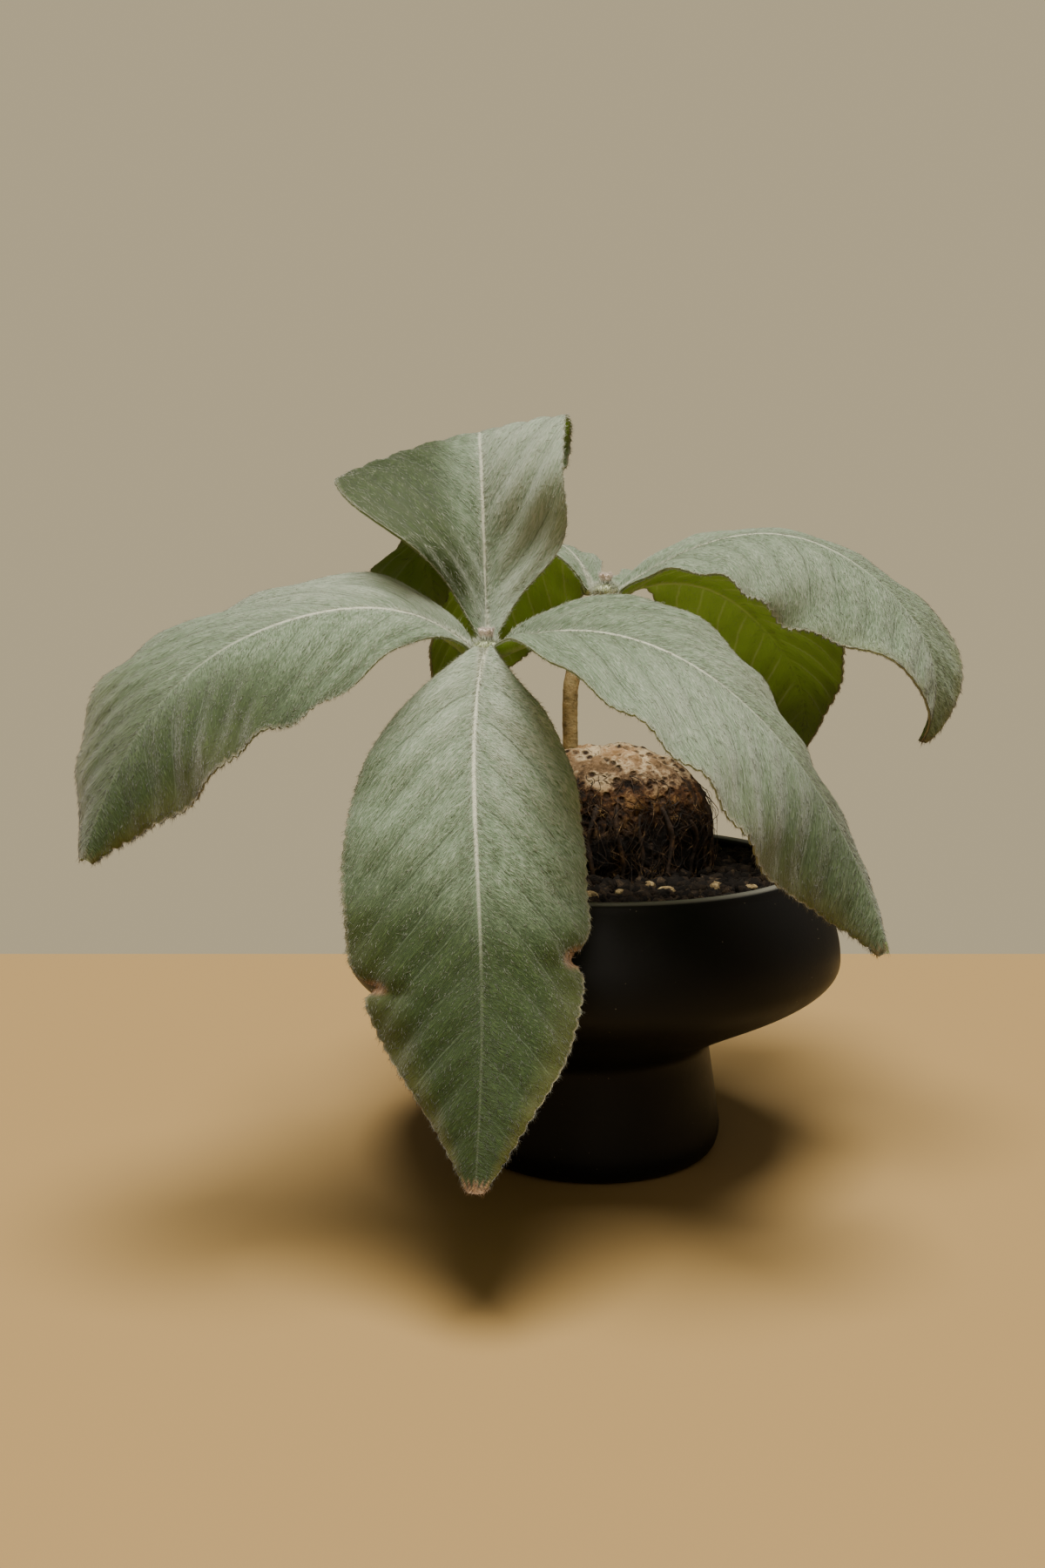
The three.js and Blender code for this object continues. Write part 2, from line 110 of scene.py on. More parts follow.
def along(values: list[float], t: np.ndarray) -> np.ndarray:
    """A smooth curve through values that stand at equal steps from t = 0 to t = 1.

    Args:
        values: The curve's values, first to last.
        t: Where to read it.

    Returns:
        The curve's value at each t.
    """
    v = np.asarray(values, float)
    last = len(v) - 1
    x = np.clip(t, 0, 1) * last
    i = np.minimum(np.floor(x).astype(int), last - 1)
    f = x - i
    b = v[i]
    c = v[i + 1]
    a = np.where(i > 0, v[np.maximum(i - 1, 0)], 2 * b - c)
    d = np.where(i + 2 <= last, v[np.minimum(i + 2, last)], 2 * c - b)
    return b + 0.5 * f * (c - a + f * (2 * a - 5 * b + 4 * c - d + f * (3 * (b - c) + d - a)))


def bezier(controls: list[np.ndarray], count: int) -> np.ndarray:
    """Points on a Bezier curve of any degree, without its first one.

    Args:
        controls: Its control points.
        count: How many points.

    Returns:
        The points, one a row.
    """
    t = np.linspace(0, 1, count + 1)[1:, None]
    rows = [np.tile(np.asarray(c, float), (count, 1)) for c in controls]
    while len(rows) > 1:
        rows = [a * (1 - t) + b * t for a, b in zip(rows, rows[1:])]
    return rows[0]


def smooth(x: np.ndarray, low: float, high: float) -> np.ndarray:
    """A soft step from 0 at low to 1 at high."""
    s = np.clip((np.asarray(x, float) - low) / (high - low), 0, 1)
    return s * s * (3 - 2 * s)


def hump(x: np.ndarray, middle: float, width: float) -> np.ndarray:
    """A bell of height 1 about middle."""
    return np.exp(-(((x - middle) / width) ** 2))


def unit(vectors: np.ndarray) -> np.ndarray:
    """Vectors along the last axis, each scaled to length 1."""
    return vectors / np.maximum(np.linalg.norm(vectors, axis=-1, keepdims=True), 1e-9)


def waves(points: np.ndarray, size: float, seed: int, count: int = 9) -> np.ndarray:
    """Smooth random lumps in space, a sum of plane waves in random directions.

    Args:
        points: Where to read them, one point a row.
        size: The lumps' spacing.
        seed: Draws the directions and phases.
        count: How many waves are summed.

    Returns:
        A value near -1 to 1 for each point.
    """
    draw = np.random.default_rng(seed)
    total = np.zeros(points.shape[:-1])
    for _ in range(count):
        direction = unit(draw.normal(size=3))
        pitch = TURN / (size * draw.uniform(0.7, 1.5))
        total += np.sin(points @ direction * pitch + draw.uniform(0, TURN))
    return total / math.sqrt(count / 2) / 2


# Meshes


def make_piece(
    name: str,
    body: Body,
    material: Material,
    replaces: tuple[str, ...] = (),
    marks: dict[str, np.ndarray] | None = None,
) -> None:
    """Make and dress a mesh object that rides on the part's body.

    Args:
        name: The piece's name.
        body: Its points in millimetres and its faces, each array with faces of one size.
        material: Its one material.
        replaces: The CAD nodes that it stands for.
        marks: Vectors kept at its points for its material, by name.
    """
    points, faces = body
    mesh = bpy.data.meshes.new(name)
    corners = np.concatenate([f.ravel() for f in faces]).astype(np.int32)
    sizes = np.concatenate([np.full(len(f), f.shape[1]) for f in faces])
    mesh.vertices.add(len(points))
    mesh.vertices.foreach_set("co", (points * MM).astype(np.float32).ravel())
    mesh.loops.add(len(corners))
    mesh.loops.foreach_set("vertex_index", corners)
    mesh.polygons.add(len(sizes))
    mesh.polygons.foreach_set("loop_start", (np.cumsum(sizes) - sizes).astype(np.int32))
    mesh.polygons.foreach_set("use_smooth", np.ones(len(sizes), bool))
    for mark, values in (marks or {}).items():
        layer = mesh.attributes.new(mark, "FLOAT_VECTOR", "POINT")
        layer.data.foreach_set("vector", values.astype(np.float32).ravel())
    mesh.update(calc_edges=True)
    mesh.materials.append(material)
    piece = bpy.data.objects.new(name, mesh)
    bpy.context.scene.collection.objects.link(piece)
    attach(piece, "root")
    if replaces:
        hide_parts(*replaces)
    LOG.info("%s: %d points, %d faces", name, len(points), len(sizes))


def grid_faces(rows: int, columns: int, closed: bool = False) -> np.ndarray:
    """Four-sided faces of a grid of points numbered row by row.

    Args:
        rows: Rows of points.
        columns: Points in a row.
        closed: Whether the last column joins the first.

    Returns:
        The faces' corner numbers.
    """
    i, j = np.meshgrid(np.arange(rows - 1), np.arange(columns - (not closed)), indexing="ij")
    here = i * columns + j
    side = i * columns + (j + 1) % columns
    return np.stack([here, side, side + columns, here + columns], -1).reshape(-1, 4)


def ring_faces(rings: int, sides: int) -> list[np.ndarray]:
    """Faces of closed rings of points, with the poles before the first and after the last ring.

    Args:
        rings: How many rings.
        sides: Points in a ring.

    Returns:
        The four-sided faces between rings, and the three-sided ones at both poles.
    """
    step = np.arange(sides)
    after = (step + 1) % sides
    last = (rings - 1) * sides
    pole = np.full(sides, rings * sides)
    bottom = np.stack([pole, after, step], -1)
    top = np.stack([pole + 1, last + step, last + after], -1)
    return [grid_faces(rings, sides, closed=True), np.concatenate([bottom, top])]


def revolve(profile: np.ndarray, sides: int) -> Body:
    """A closed body from a profile that starts and ends on the axis.

    Args:
        profile: Radius and height of each point, from the bottom middle round the outside.
        sides: Steps round the axis.

    Returns:
        The body.
    """
    turn = np.linspace(0, TURN, sides, endpoint=False)
    ring = profile[1:-1]
    x = ring[:, :1] * np.cos(turn)
    y = ring[:, :1] * np.sin(turn)
    z = np.repeat(ring[:, 1:], sides, axis=1)
    poles = np.array([[0, 0, profile[0, 1]], [0, 0, profile[-1, 1]]])
    return np.concatenate([np.stack([x, y, z], -1).reshape(-1, 3), poles]), ring_faces(len(ring), sides)


def sphere(rings: int, sides: int) -> Body:
    """A ball of radius 1 with rings of points and two poles."""
    tilt = np.linspace(-math.pi / 2, math.pi / 2, rings + 2)
    return revolve(np.stack([np.cos(tilt), np.sin(tilt)], -1), sides)


def sweep_tube(path: np.ndarray, radii: np.ndarray, sides: int) -> Body:
    """A closed round tube along a path.

    Args:
        path: The middle line's points.
        radii: The radius at each of them, or at each point of each ring.
        sides: Points round the tube.

    Returns:
        The body.
    """
    ahead = unit(np.gradient(path, axis=0))
    aside = np.zeros_like(path)
    hint = np.array([0.0, 0.0, 1.0]) if abs(ahead[0][2]) < 0.9 else np.array([1.0, 0.0, 0.0])
    for i, way in enumerate(ahead):
        hint = unit(hint - way * (hint @ way))
        aside[i] = hint
    turn = np.linspace(0, TURN, sides, endpoint=False)[:, None]
    spread = aside[:, None] * np.cos(turn) + np.cross(ahead, aside)[:, None] * np.sin(turn)
    reach = radii[:, None] if radii.ndim == 1 else radii
    rings = path[:, None] + spread * reach[..., None]
    return np.concatenate([rings.reshape(-1, 3), path[:1], path[-1:]]), ring_faces(len(path), sides)


def join_parts(parts: list[Body]) -> Body:
    """Several bodies as one.

    Args:
        parts: The bodies.

    Returns:
        All points, and all faces with their numbers shifted to match.
    """
    start = 0
    faces = []
    for points, own in parts:
        faces.extend(f + start for f in own)
        start += len(points)
    return np.concatenate([points for points, _ in parts]), faces


def twenty_faced() -> tuple[np.ndarray, np.ndarray]:
    """A regular body of twenty faces and radius 1.

    Returns:
        Its twelve corners, and the corner numbers of its outward faces.
    """
    golden = (1 + math.sqrt(5)) / 2
    signs = [(a, b) for a in (-1, 1) for b in (-golden, golden)]
    corners = unit(np.array([p for a, b in signs for p in ((0, a, b), (a, b, 0), (b, 0, a))], float))
    gap = np.linalg.norm(corners[:, None] - corners[None], axis=-1)
    edge = np.min(gap[gap > 1e-6]) * 1.01
    faces = []
    for a in range(12):
        for b in range(a + 1, 12):
            for c in range(b + 1, 12):
                if max(gap[a, b], gap[b, c], gap[a, c]) < edge:
                    normal = np.cross(corners[b] - corners[a], corners[c] - corners[a])
                    faces.append((a, b, c) if normal @ corners[a] > 0 else (a, c, b))
    return corners, np.array(faces)


def rotate_all(shapes: np.ndarray, spins: np.ndarray) -> np.ndarray:
    """Turn each shape by its own quaternion.

    Args:
        shapes: Points of each shape, shapes by points by three.
        spins: A quaternion for each, of any length.

    Returns:
        The turned points.
    """
    w, x, y, z = unit(spins).T
    rows = [
        [1 - 2 * (y * y + z * z), 2 * (x * y - z * w), 2 * (x * z + y * w)],
        [2 * (x * y + z * w), 1 - 2 * (x * x + z * z), 2 * (y * z - x * w)],
        [2 * (x * z - y * w), 2 * (y * z + x * w), 1 - 2 * (x * x + y * y)],
    ]
    return np.einsum("nij,npj->npi", np.moveaxis(np.array(rows), -1, 0), shapes)


@dataclass
class Hairs:
    """Closed tapering hairs, each a slim needle of four faces."""

    roots: np.ndarray
    ways: np.ndarray
    lengths: np.ndarray
    width: float
    marks: np.ndarray | None = None

    def build(self, name: str, slot: str, material: Material) -> None:
        """Make and dress the hairs as one piece.

        Args:
            name: The piece's name.
            slot: Not used.
            material: Its material.
        """
        ways = unit(self.ways)
        hint = np.where(np.abs(ways[:, 2:]) < 0.9, [[0.0, 0.0, 1.0]], [[1.0, 0.0, 0.0]])
        aside = unit(np.cross(ways, hint)) * self.width / 2
        other = np.cross(ways, aside)
        # The three turns round the foot are close to a third of a circle each.
        foot = [self.roots + aside * math.cos(a) + other * math.sin(a) for a in (0.0, 2.1, 4.2)]
        points = np.stack([*foot, self.roots + ways * self.lengths[:, None]], 1).reshape(-1, 3)
        count = len(self.roots)
        needle = np.array([[0, 2, 1], [0, 1, 3], [1, 2, 3], [2, 0, 3]])
        faces = (np.arange(count)[:, None, None] * 4 + needle).reshape(-1, 3)
        marks = np.zeros((count, 3)) if self.marks is None else self.marks
        at_points = np.repeat(marks, 4, axis=0)
        make_piece(name, (points, [faces]), material, marks={"state": at_points})


# Finishes

VEIN_PITCH = 13.0  # from one side vein to the next, along the midrib
VEIN_OFFSET = 0.15  # how far the veins of one half run ahead of the other half's, in pitches


class Shader:
    """A material whose nodes are added one by one."""

    def __init__(self, name: str) -> None:
        """Start an empty material.

        Args:
            name: Its name.
        """
        self.material = bpy.data.materials.new(name)
        self.material.use_nodes = True
        self.tree = self.material.node_tree
        self.tree.nodes.clear()

    def add(
        self, kind: str, inputs: dict | None = None, out: int | str = 0, **settings: object
    ) -> Socket | None:
        """Add a node with its settings and links.

        Args:
            kind: The node's type, without the word that all types start with.
            inputs: A value or another node's output for each input, by name or number.
            out: Which output to return.
            settings: The node's own settings.

        Returns:
            The output, or None for the last node.
        """
        node = self.tree.nodes.new("ShaderNode" + kind)
        for key, value in settings.items():
            setattr(node, key, value)
        for key, value in (inputs or {}).items():
            if isinstance(value, Socket):
                self.tree.links.new(value, node.inputs[key])
            else:
                node.inputs[key].default_value = value
        return node.outputs[out] if len(node.outputs) else None

    def math(self, operation: str, *values: Socket | float) -> Socket:
        """Work out one number from others."""
        return self.add("Math", dict(enumerate(values)), operation=operation)

    def scaled(self, value: Socket, by: float, shift: Socket | float) -> Socket:
        """A number times another, plus a third."""
        return self.math("MULTIPLY_ADD", value, by, shift)

    def times(self, *values: Socket | float) -> Socket:
        """The product of several numbers."""
        return reduce(partial(self.math, "MULTIPLY"), values)

    def vector(self, operation: str, *values: Socket | Point) -> Socket:
        """Work out one vector from others."""
        return self.add("VectorMath", dict(enumerate(values)), operation=operation)

    def dimmed(self, colour: Socket | Point, by: Socket) -> Socket:
        """A colour times a number."""
        return self.add("VectorMath", {0: colour, 3: by}, operation="SCALE")

    def step(
        self,
        value: Socket,
        low: float,
        high: float,
        start: float = 0.0,
        end: float = 1.0,
        soft: bool = False,
    ) -> Socket:
        """Go from start to end as a value goes from low to high.

        Args:
            value: The value.
            low: Where the step begins.
            high: Where it ends.
            start: The result below low.
            end: The result above high.
            soft: Whether it eases in and out.

        Returns:
            The result.
        """
        inputs = {0: value, 1: low, 2: high, 3: start, 4: end}
        return self.add("MapRange", inputs, interpolation_type="SMOOTHSTEP" if soft else "LINEAR")

    def mix(self, share: Socket, first: Socket | int, second: Socket | int) -> Socket:
        """Go from one colour to another as share goes from 0 to 1."""
        a, b = (linear(c) if isinstance(c, int) else c for c in (first, second))
        return self.add("Mix", {0: share, 6: a, 7: b}, out=2, data_type="RGBA")

    def ramp(self, value: Socket, stops: Stops) -> Socket:
        """Colour a number by a ramp.

        Args:
            value: The number.
            stops: The ramp.

        Returns:
            The colour.
        """
        colour = self.add("ValToRGB", {0: value})
        places = colour.node.color_ramp.elements
        while len(places) < len(stops):
            places.new(0.5)
        for place, (position, shade) in zip(places, stops):
            place.position = position
            place.color = linear(shade)
        return colour

    def place(self) -> Socket:
        """Where on the object a point lies, in metres."""
        return self.add("TexCoord", out="Object")

    def noise(
        self, place: Socket, scale: float, detail: float = 2.0, rough: float = 0.5, out: str | int = 0
    ) -> Socket:
        """A cloudy pattern, with its number of lumps in a unit of place as scale."""
        inputs = {"Vector": place, "Scale": scale, "Detail": detail, "Roughness": rough}
        return self.add("TexNoise", inputs, out)

    def cells(self, place: Socket, scale: float, out: str, feature: str = "F1") -> Socket:
        """A pattern of cells, its scale as for noise."""
        return self.add("TexVoronoi", {"Vector": place, "Scale": scale}, out, feature=feature)

    def bump(self, height: Socket, strength: float, depth_mm: float) -> Socket:
        """A surface tilted by a pattern's relief."""
        return self.add("Bump", {"Height": height, "Strength": strength, "Distance": depth_mm * MM})

    def split(self, vector: Socket) -> list[Socket]:
        """The three parts of a vector."""
        return list(self.add("SeparateXYZ", {0: vector}).node.outputs)

    def mark(self, name: str) -> Socket:
        """The vector kept at the mesh's points under a name."""
        return self.add("Attribute", out="Vector", attribute_name=name)

    def solid(self, inputs: dict) -> Material:
        """Finish with one solid surface."""
        return self.finish(self.add("BsdfPrincipled", inputs))

    def finish(self, surface: Socket) -> Material:
        """Finish with the given surface."""
        self.add("OutputMaterial", {"Surface": surface})
        return self.material


@dataclass(frozen=True)
class LeafFelt:
    """Living leaf under a silky felt of white hairs, as grown.

    The hairs lie along the side veins and throw light back as a silver satin. Where they are thin,
    in the folds and towards the tip, the green shows. The thin blade lets yellow-green light through.
    """

    silver: int = 0xB0BAAA
    sage: int = 0x778C73
    green: int = 0x283C0D
    deep: int = 0x1A290B
    moss: int = 0x2B4014
    dull: int = 0x687C4E
    scorch: int = 0x8A6A48
    scorch_dark: int = 0x3E2A1A
    scorch_pale: int = 0xB89E7C
    under: int = 0x8CA660
    under_vein: int = 0xC4D2B4
    rib: int = 0xE2E4D0
    margin: int = 0xBDB092
    sere: int = 0x74682A
    glow: int = 0xACC664
    streak_mm: float = 0.48  # a hair is 0.05 mm thick: drawn coarser so that it shows
    streak_length_mm: float = 2.1
    patch_mm: float = 14.0
    vein_mm: float = 0.6

    def streaks(self, s: Shader, grow: Socket) -> tuple[Socket, Socket]:
        """Two layers of short hair that cross at about 30 degrees.

        Args:
            s: The material.
            grow: Its mark along and across the side veins.

        Returns:
            Single hairs, and broad tufts of them.
        """
        vein, across, share = s.split(grow)
        size = (1 / self.streak_mm, 1 / self.streak_length_mm, 0)
        # This mark is in mm, so the scale counts lumps in a millimetre.
        warp = s.noise(grow, 0.09, out="Color")
        lay = s.vector("MULTIPLY_ADD", warp, (9.0, 0.5, 0.0), s.vector("MULTIPLY", grow, size))
        askew = s.add("CombineXYZ", {0: s.scaled(across, 0.6, vein), 1: across, 2: share})
        layers = [s.noise(v, 1.0, 3.0, 0.6) for v in (lay, s.vector("MULTIPLY", askew, size))]
        tufts = s.noise(s.vector("MULTIPLY", lay, (0.12, 0.2, 0)), 1.0, 3.0)
        return s.math("MAXIMUM", *layers), tufts

    def veins(self, s: Shader, grow: Socket, veined: Socket) -> list[Socket]:
        """Lines at equal steps, set off from one half of the blade to the other.

        Args:
            s: The material.
            grow: Its mark along and across the side veins.
            veined: How much the veins show.

        Returns:
            Painted shade in the thin crease above, painted highlight on the hair raised beside it, and the
            broad cord below.
        """
        vein, across, _ = s.split(grow)
        number = s.scaled(s.noise(grow, 0.13), 0.2, s.scaled(vein, 1 / VEIN_PITCH, 0.4))
        number = s.math("FRACT", s.scaled(s.math("SIGN", across), VEIN_OFFSET, number))
        unit_width = self.vein_mm / VEIN_PITCH
        lines = []
        for beside, width in ((0.0, 1.0), (1.2, 0.7), (0.0, 1.7)):
            off = s.math("ABSOLUTE", s.math("ADD", number, -0.5 - beside * unit_width))
            lines.append(s.times(s.step(off, 0.0, width * unit_width, 1.0, 0.0, soft=True), veined))
        return lines

    def cover(self, s: Shader, parts: tuple[tuple[Socket, float], ...], bare_and_shade: Socket) -> Socket:
        """How well the felt covers, from 0 to 1.

        Args:
            s: The material.
            parts: Patterns and their weights.
            bare_and_shade: How thin the felt is here, with painted shade and light added.

        Returns:
            The cover.
        """
        total = -1.0
        for pattern, weight in parts:
            total = s.scaled(pattern, weight, total)
        # Very thin felt loses little more cover: it gets the poor shades instead.
        missing = s.math("ADD", s.math("MINIMUM", bare_and_shade, 0.3), s.step(bare_and_shade, 0.3, 2.3, 0.0, 0.3))
        return s.step(s.math("SUBTRACT", total, missing), 0.1, 1.6)

    def midrib(self, s: Shader, across: Socket, t: Socket, fine: Socket) -> Socket:
        """Where the midrib's pale hair is: wide at the stalk, narrow and faint to the tip.

        Args:
            s: The material.
            across: Distance from the midrib in mm.
            t: Share of the way to the tip.
            fine: Single hairs, which make its edge uneven.

        Returns:
            The share of pale hair.
        """
        width = s.math("ADD", s.scaled(t, -0.8, 1.05), s.step(t, 0.0, 0.1, 1.6, 0.0))
        nearness = s.math("DIVIDE", s.math("ABSOLUTE", across), width)
        line = s.step(s.scaled(fine, 1.3, nearness), 0.95, 1.75, 0.85, 0.0, soft=True)
        return s.times(line, s.step(t, 0.35, 0.66, 1.0, 0.06))

    def build(self) -> Material:
        """Make the material.

        Returns:
            The material. It reads the marks grow (distance along a side vein's line, signed distance
            from the midrib, share to the margin), state (t, scorch, lower face) and relief (puff
            between veins, which also paints shade and light, how much veins show, and bareness with
            painted shade and light in it).
        """
        s = Shader("Leaf_silky_felt")
        grow = s.mark("grow")
        _, across, share = s.split(grow)
        t, scorch, lower = s.split(s.mark("state"))
        puff, veined, bare_and_shade = s.split(s.mark("relief"))
        fine, tufts = self.streaks(s, grow)
        patch = s.noise(s.place(), METRE / self.patch_mm, 3.0)
        # The puff term paints shade and light: the felt is greener in the troughs at the side veins and
        # more silver on the swellings between them.
        cover = self.cover(s, ((fine, 3.3), (tufts, 0.15), (patch, 0.25), (puff, 0.12)), bare_and_shade)
        # Where the felt is poor the same hairs lie over dark green; where the bareness carries painted
        # shade, this dark green is painted shade too.
        rich = s.ramp(cover, ((0.05, self.green), (0.45, self.sage), (0.9, self.silver)))
        poor = s.ramp(cover, ((0.05, self.deep), (0.45, self.moss), (0.95, self.dull)))
        upper = s.mix(s.step(bare_and_shade, 0.3, 1.0, soft=True), rich, poor)
        # Each side vein shows as a crease with painted shade in it and a painted highlight on the raised
        # hair beside it, clearer in some places.
        crease_shade, ridge_highlight, cord = self.veins(s, grow, veined)
        seen = s.step(patch, 0.4, 0.6, 0.35, 1.0)
        upper = s.mix(s.times(crease_shade, seen, 0.62), upper, self.deep)
        hair = s.mix(cover, self.sage, self.silver)
        upper = s.mix(s.times(ridge_highlight, seen, 0.3), upper, hair)
        # Below, the hair is thin and the veins stand out as pale cords.
        below = s.mix(s.scaled(cover, 0.3, cord), self.under, self.under_vein)
        colour = s.mix(lower, upper, below)
        colour = s.mix(self.midrib(s, across, t, fine), colour, self.rib)
        # Towards the tip the outer part turns sere, and the margin is a thin dry tan line.
        above = s.scaled(lower, -0.8, 1.0)
        dying = s.times(s.step(share, 0.55, 1.0), s.step(t, 0.5, 0.95, 0.0, 0.45), above)
        colour = s.mix(dying, colour, self.sere)
        edge = s.times(s.step(share, 0.965, 0.995), s.step(t, 0.35, 0.85, 0.15, 0.48), above)
        colour = s.mix(edge, colour, self.margin)
        dry = s.ramp(fine, ((0.42, self.scorch_dark), (0.56, self.scorch), (0.74, self.scorch_pale)))
        colour = s.mix(scorch, colour, dry)
        bump = s.bump(s.math("ADD", tufts, fine), 0.8, 0.6)
        skin = s.add(
            "BsdfPrincipled",
            {
                "Base Color": colour,
                "Roughness": s.step(cover, 0.0, 1.0, 0.58, 0.82),
                "IOR": 1.45,
                "Sheen Weight": 0.4,
                "Sheen Roughness": 0.4,
                "Normal": bump,
            },
        )
        tint = s.mix(scorch, self.glow, self.scorch)
        tint = s.dimmed(tint, s.step(cover, 0.0, 1.0, 1.0, 0.75))
        through = s.add("BsdfTranslucent", {"Color": tint, "Normal": bump})
        # The thinly haired lower face lets more light out than the upper one lets in.
        return s.finish(s.add("MixShader", {0: s.scaled(lower, 0.32, 0.32), 1: skin, 2: through}))


@dataclass(frozen=True)
class SilkHair:
    """White plant hair: a hollow, colourless cell wall that scatters light softly."""

    name: str = "Hair_silky"
    colour: int = 0xC3CAB5
    dry: int = 0x9A7D5E
    patch_mm: float = METRE / 260  # just under 4 mm

    def build(self) -> Material:
        """Make the material, with the scorched hairs brown and those towards the tip darkened by painted
        shade.

        Returns:
            The material. It reads the mark state (t, scorch, nothing).
        """
        s = Shader(self.name)
        t, scorch, _ = s.split(s.mark("state"))
        patch = s.noise(s.place(), METRE / self.patch_mm)
        # Hairs darken towards the tip: painted shade where the tips hang down.
        shade = s.times(s.step(patch, 0.35, 0.65, 0.72), s.step(t, 0.25, 0.85, 1.0, 0.22))
        colour = s.mix(scorch, s.dimmed(linear(self.colour)[:3], shade), self.dry)
        look = {"Roughness": 0.5, "IOR": 1.45, "Sheen Weight": 0.3, "Sheen Roughness": 0.4}
        skin = s.add("BsdfPrincipled", look | {"Base Color": colour})
        through = s.add("BsdfTranslucent", {"Color": colour})
        return s.finish(s.add("MixShader", {0: 0.4, 1: skin, 2: through}))


@dataclass(frozen=True)
class SatinCeramic:
    """Stoneware under a thin near-black satin glaze, thrown or pressed and fired.

    The eye sees a soft wide highlight, fine orange peel, a few pale specks where dust or bare clay
    shows, and a glossier lip with a painted highlight: a pale band painted round its top.
    """

    glaze: int = 0x0A0B0E
    warm: int = 0x0E0E0E
    # Painted highlight: the pale colour painted on the band round the lip's top.
    edge: int = 0x84847C
    speck: int = 0x8C8272
    cloud_mm: float = 26.0
    speck_mm: float = 1.7
    peel_mm: float = 0.9
    highlight_band_mm: tuple[float, float] = (88.6, 89.1)

    def build(self) -> Material:
        """Make the material.

        Returns:
            The material.
        """
        s = Shader("Ceramic_satin_black_glaze")
        place = s.place()
        cloud = s.noise(place, METRE / self.cloud_mm, 4.0)
        near = s.step(s.cells(place, METRE / self.speck_mm, "Distance"), 0.05, 0.09, 1.0, 0.0)
        rare = s.step(s.cells(place, METRE / self.speck_mm, "Color"), 0.74, 0.78, 0.0, 0.6)
        colour = s.mix(s.times(near, rare), s.mix(cloud, self.glaze, self.warm), self.speck)
        lip = s.step(s.split(place)[2], self.highlight_band_mm[0] * MM, self.highlight_band_mm[1] * MM)
        # The pale band round the lip's top is a painted highlight; the lower roughness there is real
        # gloss.
        colour = s.mix(s.times(lip, 0.5), colour, self.edge)
        return s.solid(
            {
                "Base Color": colour,
                "Roughness": s.scaled(lip, -0.26, s.step(cloud, 0.3, 0.7, 0.38, 0.54)),
                "IOR": 1.5,
                "Specular IOR Level": 0.17,
                "Normal": s.bump(s.noise(place, METRE / self.peel_mm), 0.12, 0.2),
            }
        )


@dataclass(frozen=True)
class PottingGrit:
    """Damp peat and crushed mineral grit: nearly black crumbs, with lighter stone here and there."""

    name: str
    shades: Stops
    grain_mm: float = 1.6
    fine_mm: float = 0.5

    def build(self) -> Material:
        """Make the material.

        Returns:
            The material.
        """
        s = Shader(self.name)
        place = s.place()
        fine = s.noise(place, METRE / self.fine_mm, 5.0)
        pick = s.scaled(fine, 0.4, s.times(s.cells(place, METRE / self.grain_mm, "Color"), 0.6))
        look = {"Base Color": s.ramp(pick, self.shades), "Roughness": 0.95, "Specular IOR Level": 0.12}
        return s.solid(look | {"Normal": s.bump(fine, 0.8, 0.6)})


@dataclass(frozen=True)
class Cork:
    """Corky skin of a tuber, weathered pale above and stained dark by soil and old roots below."""

    dry: Stops = ((0.3, 0x8C6C46), (0.45, 0x94795A), (0.56, 0xB6A485))
    damp: Stops = ((0.38, 0x140C06), (0.52, 0x4A2F18), (0.66, 0x7C5E38))
    wet: Stops = ((0.4, 0x0B0705), (0.6, 0x140C06), (0.75, 0x3A2413))
    pit_shade: int = 0x2E1F12
    cloud_mm: float = 9.0
    grain_mm: float = 1.2
    pit_mm: float = 3.1
    crack_mm: float = 7.0
    warp_mm: float = 5.0
    level_mm: float = 132.5  # where the stain ends, with both noises' mean height added

    def build(self) -> Material:
        """Make the material.

        Returns:
            The material.
        """
        s = Shader("Cork_tuber_skin")
        place = s.place()
        cloud = s.noise(place, METRE / self.cloud_mm, 6.0, 0.6)
        fine = s.noise(place, METRE / self.grain_mm, 5.0, 0.7)
        height = s.scaled(fine, 0.008, s.scaled(cloud, 0.022, s.split(place)[2]))
        level = self.level_mm * MM
        stain = s.step(height, level - 0.005, level + 0.004)
        soaked = s.step(height, level - 0.019, level - 0.006)
        pit = s.step(s.cells(place, METRE / self.pit_mm, "Distance"), 0.2, 0.42, 1.0, 0.0)
        pit = s.times(pit, s.step(cloud, 0.4, 0.5))
        warp = s.noise(place, METRE / self.warp_mm, 3.0, out="Color")
        bent = s.vector("MULTIPLY_ADD", warp, (0.006, 0.006, 0.003), place)
        edges = s.cells(bent, METRE / self.crack_mm, "Distance", "DISTANCE_TO_EDGE")
        crack = s.times(s.step(edges, 0.0, 0.035, 0.8, 0.0), s.step(cloud, 0.52, 0.6))
        tone = s.math("ADD", cloud, s.scaled(fine, 0.5, -0.25))
        colour = s.mix(soaked, s.ramp(tone, self.wet), s.ramp(tone, self.damp))
        colour = s.mix(stain, colour, s.ramp(tone, self.dry))
        hollow = s.math("MAXIMUM", pit, crack)
        relief = s.scaled(cloud, 1.2, s.scaled(hollow, -1.6, fine))
        colour = s.mix(hollow, colour, self.pit_shade)
        bump = s.bump(relief, 0.9, 0.8)
        look = {"Base Color": colour, "Roughness": 0.85, "Specular IOR Level": 0.2, "Normal": bump}
        return s.solid(look)


@dataclass(frozen=True)
class Fibre:
    """Dead or living plant fibre: matte, uneven along its length."""

    name: str
    shades: Stops
    patch_mm: float = 4.0
    bump_mm: float = 0.3
    grain_mm: float = 0.7

    def build(self) -> Material:
        """Make the material.

        Returns:
            The material.
        """
        s = Shader(self.name)
        place = s.place()
        colour = s.ramp(s.noise(place, METRE / self.patch_mm, 5.0, 0.65), self.shades)
        bump = s.bump(s.noise(place, METRE / self.grain_mm, 3.0), 0.8, self.bump_mm)
        return s.solid({"Base Color": colour, "Roughness": 0.8, "IOR": 1.4, "Normal": bump})


